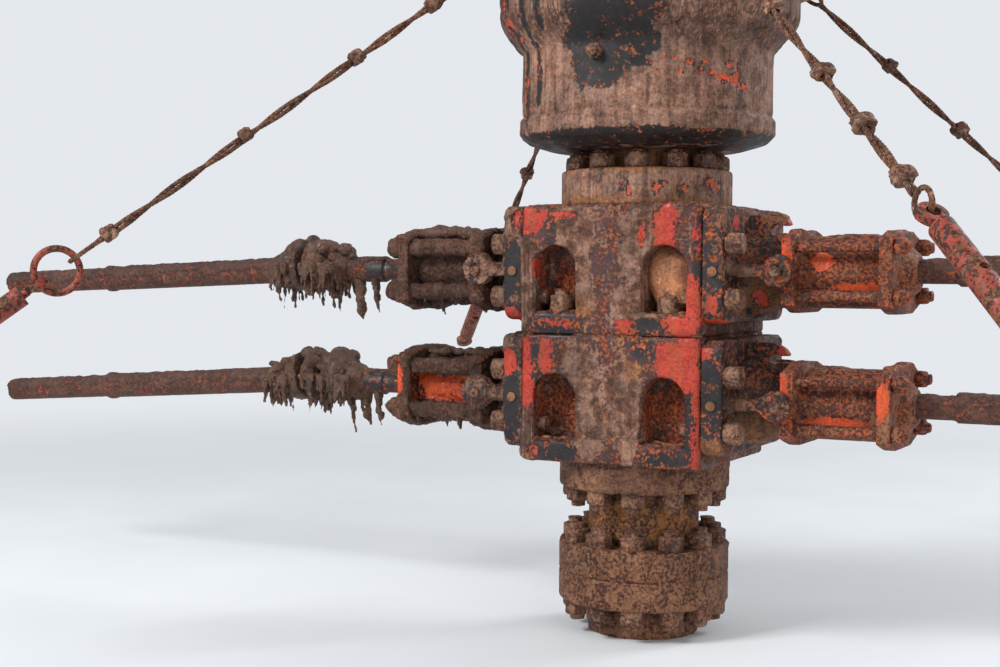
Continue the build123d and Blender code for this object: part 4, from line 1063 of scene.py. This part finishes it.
class STACK_OT_annular(bpy.types.Operator):
    """The annular preventer: bowl, cap, packing element, stay lugs and its port fitting."""
    bl_idname = "stack.annular"
    bl_label = "Annular preventer"

    def execute(self, context):
        def run_off(points, normals):
            radius = np.hypot(points[:, 0], points[:, 1])
            return 0.3 * (radius > MUD_FROM_R) - 1.5 * (radius < BARE_TO_R)

        dress("annular_bowl", ["annular_body"], sizes().bowl_skin, 0.45, 0.3, 0.35 * sizes().crust,
              look("annular"), 71, 0.0012, ANNULAR_MARKS, run_off)
        dress("annular_lid", ["annular_cap"], sizes().bowl_skin, 0.35, 0.35, sizes().crust,
              look("annular"), 73, 0.0012)
        crisp("packer_ring", ["packing_element"], 0.004, look("rubber"))
        self.fitting()
        crisp("stay_pad_eyes", ["stay_lugs"], 0.003, look("annular"))
        return {"FINISHED"}

    def fitting(self):
        """A hexagonal fitting with a rounded nipple, screwed into the bowl's side."""
        shape = bmesh.new()
        profile = [(0.0, 0.026, 6), (0.022, 0.026, 6), (0.0225, 0.014, 12), (0.034, 0.014, 12),
                   (0.036, 0.018, 12), (0.044, 0.018, 12), (0.049, 0.009, 12)]
        rings = []
        for along, radius, sides in profile:
            rings.append([shape.verts.new((
                radius * self.hexed(sides, s) * cos(tau * s / 24), -along,
                radius * self.hexed(sides, s) * sin(tau * s / 24))) for s in range(24)])
        join_rings(shape, rings)
        bmesh.ops.translate(shape, verts=shape.verts, vec=FITTING)
        finished("port_fitting", as_mesh(shape, "port_fitting"), look("stud"), "root")

    def hexed(self, sides, step):
        """How far out a flat-sided outline lies at one of 24 steps round it."""
        if sides > 6:
            return 1.0
        return cos(tau / 12) / cos((tau * step / 24) % (tau / 6) - tau / 12)


class STACK_OT_spool(bpy.types.Operator):
    """Casing head and drilling spool, muddy on their flanges."""
    bl_idname = "stack.spool"
    bl_label = "Spool and casing head"

    def execute(self, context):
        for name, node, seed in (("spool_casting", "drilling_spool", 81),
                                 ("wellhead_casting", "casing_head", 85)):
            dress(name, [node], sizes().body_skin, 0.36, 0.3, 0.6 * sizes().crust, look("flange"),
                  seed, 0.0015, FLANGE_MARKS)
        return {"FINISHED"}


class STACK_OT_shafts(bpy.types.Operator):
    """Lock screws, crosses and extension shafts on their own bodies."""
    bl_idname = "stack.shafts"
    bl_label = "Lock shafts"

    def execute(self, context):
        def band(points, normals):
            return 0.9 * normals[:, 2]

        for place in SHAFT_FALL:
            cover = 0.4 if place.endswith("left") else 0.15
            dress(f"screw_{place}", [f"lock_screw_{place}"], sizes().shaft_skin, 0.38, cover,
                  0.9 * sizes().crust, look("shaft"), 91, 0.0008, SHAFT_MARKS, band)
            dress(f"long_shaft_{place}", [f"extension_shaft_{place}"], sizes().shaft_skin, 0.38,
                  cover, 0.9 * sizes().crust, look("shaft"), 95, 0.0008, SHAFT_MARKS,
                  band)
            crisp(f"cross_{place}", [f"universal_cross_{place}"], 0.002, look("stud"))
        return {"FINISHED"}


def stay_axes(angle):
    """The lug hole of a stay, and its level, square and downward directions."""
    turn = radians(angle)
    down = Vector((cos(turn), sin(turn), -STAY_FALL)).normalized()
    level = Vector((-sin(turn), cos(turn), 0))
    return Vector((LUG_R * cos(turn), LUG_R * sin(turn), LUG_Z)), level, down.cross(level), down


def tube(shape, path, radius, sides):
    """Adds a round tube along points, with its frame carried from one point to the next."""
    rings = []
    across_dir = None
    for k, here in enumerate(path):
        before = path[max(k - 1, 0)]
        after = path[min(k + 1, len(path) - 1)]
        along = (after - before).normalized()
        if across_dir is None:
            across_dir = along.orthogonal().normalized()
        across_dir = (across_dir - along * across_dir.dot(along)).normalized()
        other = along.cross(across_dir)
        rings.append([shape.verts.new(here + (across_dir * cos(tau * s / sides)
                                              + other * sin(tau * s / sides)) * radius)
                      for s in range(sides)])
    join_rings(shape, rings)


def strands(shape, where, whole, step):
    """Adds the strands of one rope of a whole length, round the line that where gives."""
    steps = max(8, int(whole / step))
    for strand in range(STRANDS):
        path = []
        for k in range(steps + 1):
            along = whole * k / steps
            middle, side_dir, out_dir = where(along)
            turn = tau * (along / sizes().strand_pitch + strand / STRANDS)
            path.append(middle + (side_dir * cos(turn) + out_dir * sin(turn)) * sizes().rope_r)
        tube(shape, path, sizes().strand_r, 5)


class STACK_OT_stays(bpy.types.Operator):
    """Doubled wire rope stays with clips, rings and turnbuckles."""
    bl_idname = "stack.stays"
    bl_label = "Stays"

    def execute(self, context):
        for name, (angle, rope_len, flip) in STAYS.items():
            origin, level, square, down = stay_axes(angle)
            shape = bmesh.new()
            start, stop = TOP_LOOP + LOOP_R + LOOP_GAP, rope_len - LOOP_R - LOOP_GAP
            for half in (0, 1):
                def straight(along, half=half):
                    turn = tau * (along / sizes().pair_pitch + half / 2)
                    offset = (level * cos(turn) + square * sin(turn)) * PAIR_R
                    return origin + down * (start + along) + offset, level, square
                strands(shape, straight, stop - start, 0.012)
            for centre_at, second in ((TOP_LOOP, level), (rope_len, square if flip else level)):
                def loop(along, centre_at=centre_at, second=second):
                    turn = along / LOOP_R
                    out_dir = down * cos(turn) + second * sin(turn)
                    third = down.cross(second)
                    return origin + down * centre_at + out_dir * LOOP_R, out_dir, third
                strands(shape, loop, tau * LOOP_R, 0.008)
            mesh = as_mesh(shape, name)
            points = points_of(mesh)
            layer = mesh.attributes.new("crust", "FLOAT", "POINT")
            caked = smooth(fractal(points, 0.2, 5, 2), 0.1, 0.6)
            layer.data.foreach_set("value", caked.astype(np.float32))
            finished(f"wire_rope_{name}", mesh, look("rope"), "root",
                     [f"stay_rope_{name}"])
        dress("muddy_rope_clips", ["rope_clips"], 0.004, 0.6, 0.6, 0.005, look("rope"), 97)
        crisp("red_stay_rings", ["stay_rings"], 0.001, look("stay"))
        crisp("red_turnbuckles", ["turnbuckle_bodies"], 0.003, look("stay"))
        crisp("forged_eye_screws", ["turnbuckle_eyes"], 0.004, look("stay"))
        return {"FINISHED"}


class STACK_OT_mud(bpy.types.Operator):
    """Lumps, clods and drips of dried mud on the joints, cylinders and pockets."""
    bl_idname = "stack.mud"
    bl_label = "Mud"

    def execute(self, context):
        joint_clumps()
        self.cylinder_mud()
        self.pocket_mud()
        return {"FINISHED"}

    def cylinder_mud(self):
        """Fringes under the left cylinders' rods and clods on top of them."""
        draw = np.random.default_rng(113)
        for level, z in AXIS_Z.items():
            shape = bmesh.new()
            for rod_y in (-ROD_Y, ROD_Y):
                for rod_z in (-ROD_Z, ROD_Z):
                    first, last = [(x, rod_y, z + rod_z - 0.012) for x in (-0.86, -0.58)]
                    drop = 0.055 if rod_z < 0 else 0.02
                    fringe(shape, draw, first, last, 20, drop, 0.007, 0.01)
            fringe(shape, draw, (-0.87, -0.05, z - 0.11), (-0.56, -0.05, z - 0.11), 16, 0.06, 0.012, 0.05)
            count = 26 if level == "upper" else 12
            size = 0.045 if level == "upper" else 0.03
            clods(shape, draw, (-0.86, -0.06, z + 0.125), (-0.57, -0.06, z + 0.125), count, size, 0.2)
            clods(shape, draw, (-0.86, -ROD_Y, z + 0.095), (-0.57, -ROD_Y, z + 0.095), 10, 0.02, 0.2)
            clump(f"cylinder_mud_{level}", shape, "root", 121 if level == "upper" else 127, 0.005, 0.5)

    def pocket_mud(self):
        """The mud that fills one pocket and lies in the others."""
        draw = np.random.default_rng(131)
        shape = bmesh.new()
        front = -BODY_HALF_Y
        for x, z, full in ((POCKET_X, UPPER_BODY_Z, True), (-POCKET_X, UPPER_BODY_Z, False),
                           (POCKET_X, LOWER_BODY_Z, False), (-POCKET_X, LOWER_BODY_Z, False)):
            floor = z + POCKET_FLOOR
            if full:
                blob(shape, (x - 0.005, front + 0.085, floor + 0.13), (0.082, 0.05, 0.105))
                blob(shape, (x + 0.01, front + 0.08, floor + 0.08), (0.07, 0.045, 0.07))
            first, last = [(x + shift, front + 0.06, floor) for shift in (-0.07, 0.07)]
            clods(shape, draw, first, last, 9, 0.02, 0.1)
        clump("pocket_mud", shape, "root", 133, 0.004, 0.6, material="clod")


class STACK_OT_stage(bpy.types.Operator):
    """Floor, backdrop, lamps and camera."""
    bl_idname = "stack.stage"
    bl_label = "Stage"

    def execute(self, context):
        self.floor()
        self.lamps()
        self.camera()
        context.scene.view_settings.view_transform = "Standard"
        return {"FINISHED"}

    def floor(self):
        """A pale floor that fades into the background."""
        shape = bmesh.new()
        bmesh.ops.create_circle(shape, cap_ends=True, segments=96, radius=90)
        mesh = bpy.data.meshes.new("floor")
        shape.to_mesh(mesh)
        shape.free()
        floor = placed("floor", mesh)
        floor.location.z = -0.0005
        material = bpy.data.materials.new("floor")
        material.use_nodes = True
        graph = Graph(material.node_tree)
        shader = material.node_tree.nodes["Principled BSDF"]
        output = material.node_tree.nodes["Material Output"]
        at = graph.node("ShaderNodeTexCoord").outputs["Object"]
        mottle = graph.step(graph.noise(at, 1.3, 5.0, 0.5), 0.3, 0.7)
        tone = graph.mix(mottle, tuple(0.96 * c for c in colours().floor) + (1.0,), rgba(colours().floor))
        graph.tree.links.new(tone, shader.inputs["Base Color"])
        shader.inputs["Roughness"].default_value = 0.75
        far = graph.step(graph.vector("LENGTH", at, (0, 0, 0)), 3.0, 10.0)
        seen = graph.node("ShaderNodeLightPath").outputs["Is Camera Ray"]
        glow = graph.node("ShaderNodeEmission", {"Color": BACKGROUND, "Strength": 1.0})
        mixed = graph.node("ShaderNodeMixShader", {
            0: graph.math("MULTIPLY", far, seen), 1: shader.outputs[0], 2: glow.outputs[0]})
        graph.tree.links.new(mixed.outputs[0], output.inputs["Surface"])
        mesh.materials.append(material)

    def lamps(self):
        """A soft sky, a large key lamp from the left front, a fill and a rim lamp."""
        world = bpy.data.worlds.new("studio")
        bpy.context.scene.world = world
        world.use_nodes = True
        graph = Graph(world.node_tree)
        sky = world.node_tree.nodes["Background"]
        sky.inputs["Color"].default_value = (0.93, 0.96, 1.0, 1.0)
        sky.inputs["Strength"].default_value = 0.55
        plain = graph.node("ShaderNodeBackground", {"Color": BACKGROUND, "Strength": 1.0})
        rays = graph.node("ShaderNodeLightPath").outputs
        seen = graph.math("MAXIMUM", rays["Is Camera Ray"], rays["Is Transmission Ray"])
        mixed = graph.node("ShaderNodeMixShader", {0: seen, 1: sky.outputs[0], 2: plain.outputs[0]})
        graph.tree.links.new(mixed.outputs[0], world.node_tree.nodes["World Output"].inputs["Surface"])
        for name, place, size, power in (
                ("key", (-4.0, -6.5, 6.5), 3.0, 800), ("fill", (6.5, -5.5, 3.5), 5.0, 240),
                ("rim", (4.5, 6.0, 6.0), 3.0, 380)):
            lamp = bpy.data.lights.new(name, "AREA")
            lamp.size = size
            lamp.energy = power
            held = bpy.data.objects.new(name, lamp)
            bpy.context.scene.collection.objects.link(held)
            held.location = place
            aim = Vector((0, 0, 1.2)) - Vector(place)
            held.rotation_euler = aim.to_track_quat("-Z", "Y").to_euler()

    def camera(self):
        """The camera at the photograph's viewing angle."""
        lens = bpy.data.cameras.new("camera")
        lens.sensor_width = 36
        lens.lens = 54
        held = bpy.data.objects.new("camera", lens)
        bpy.context.scene.collection.objects.link(held)
        turn, tilt, roll = radians(28.529), radians(2.2442), radians(0.3115)
        right = Vector((cos(turn), sin(turn), 0))
        ahead = Vector((-sin(turn), cos(turn), 0))
        place = -0.5028 * right - 5.1848 * ahead + Vector((0, 0, 1.2244))
        held.matrix_world = (Matrix.Translation(place) @ Matrix.Rotation(turn, 4, "Z")
                             @ Matrix.Rotation(radians(90) - tilt, 4, "X") @ Matrix.Rotation(roll, 4, "Z"))
        bpy.context.scene.camera = held


class STACK_PT_panel(bpy.types.Panel):
    """The stack's operators and settings in the sidebar."""
    bl_idname = "STACK_PT_panel"
    bl_label = "Blowout preventer stack"
    bl_space_type = "VIEW_3D"
    bl_region_type = "UI"
    bl_category = "Stack"

    def draw(self, context):
        for operator in OPERATORS:
            self.layout.operator(operator.bl_idname)
        for group in (context.scene.stack_sizes, context.scene.stack_colours):
            for key in group.__annotations__:
                self.layout.prop(group, key)


OPERATORS = (
    STACK_OT_stage, STACK_OT_ram_bodies, STACK_OT_doors, STACK_OT_cylinders, STACK_OT_bolts,
    STACK_OT_annular, STACK_OT_spool, STACK_OT_shafts, STACK_OT_stays, STACK_OT_mud,
)
CLASSES = (StackColours, StackSizes, *OPERATORS, STACK_PT_panel)


def register():
    """Registers the settings, operators and panel."""
    for item in CLASSES:
        bpy.utils.register_class(item)
    bpy.types.Scene.stack_colours = bpy.props.PointerProperty(type=StackColours)
    bpy.types.Scene.stack_sizes = bpy.props.PointerProperty(type=StackSizes)


def unregister():
    """Removes what register added."""
    del bpy.types.Scene.stack_sizes
    del bpy.types.Scene.stack_colours
    for item in reversed(CLASSES):
        bpy.utils.unregister_class(item)


def main():
    """Dresses the whole stack."""
    register()
    bpy.ops.stack.stage()
    bpy.ops.stack.ram_bodies()
    bpy.ops.stack.doors()
    bpy.ops.stack.cylinders()
    bpy.ops.stack.bolts()
    bpy.ops.stack.annular()
    bpy.ops.stack.spool()
    bpy.ops.stack.shafts()
    bpy.ops.stack.stays()
    bpy.ops.stack.mud()


if __name__ == "__main__":
    main()
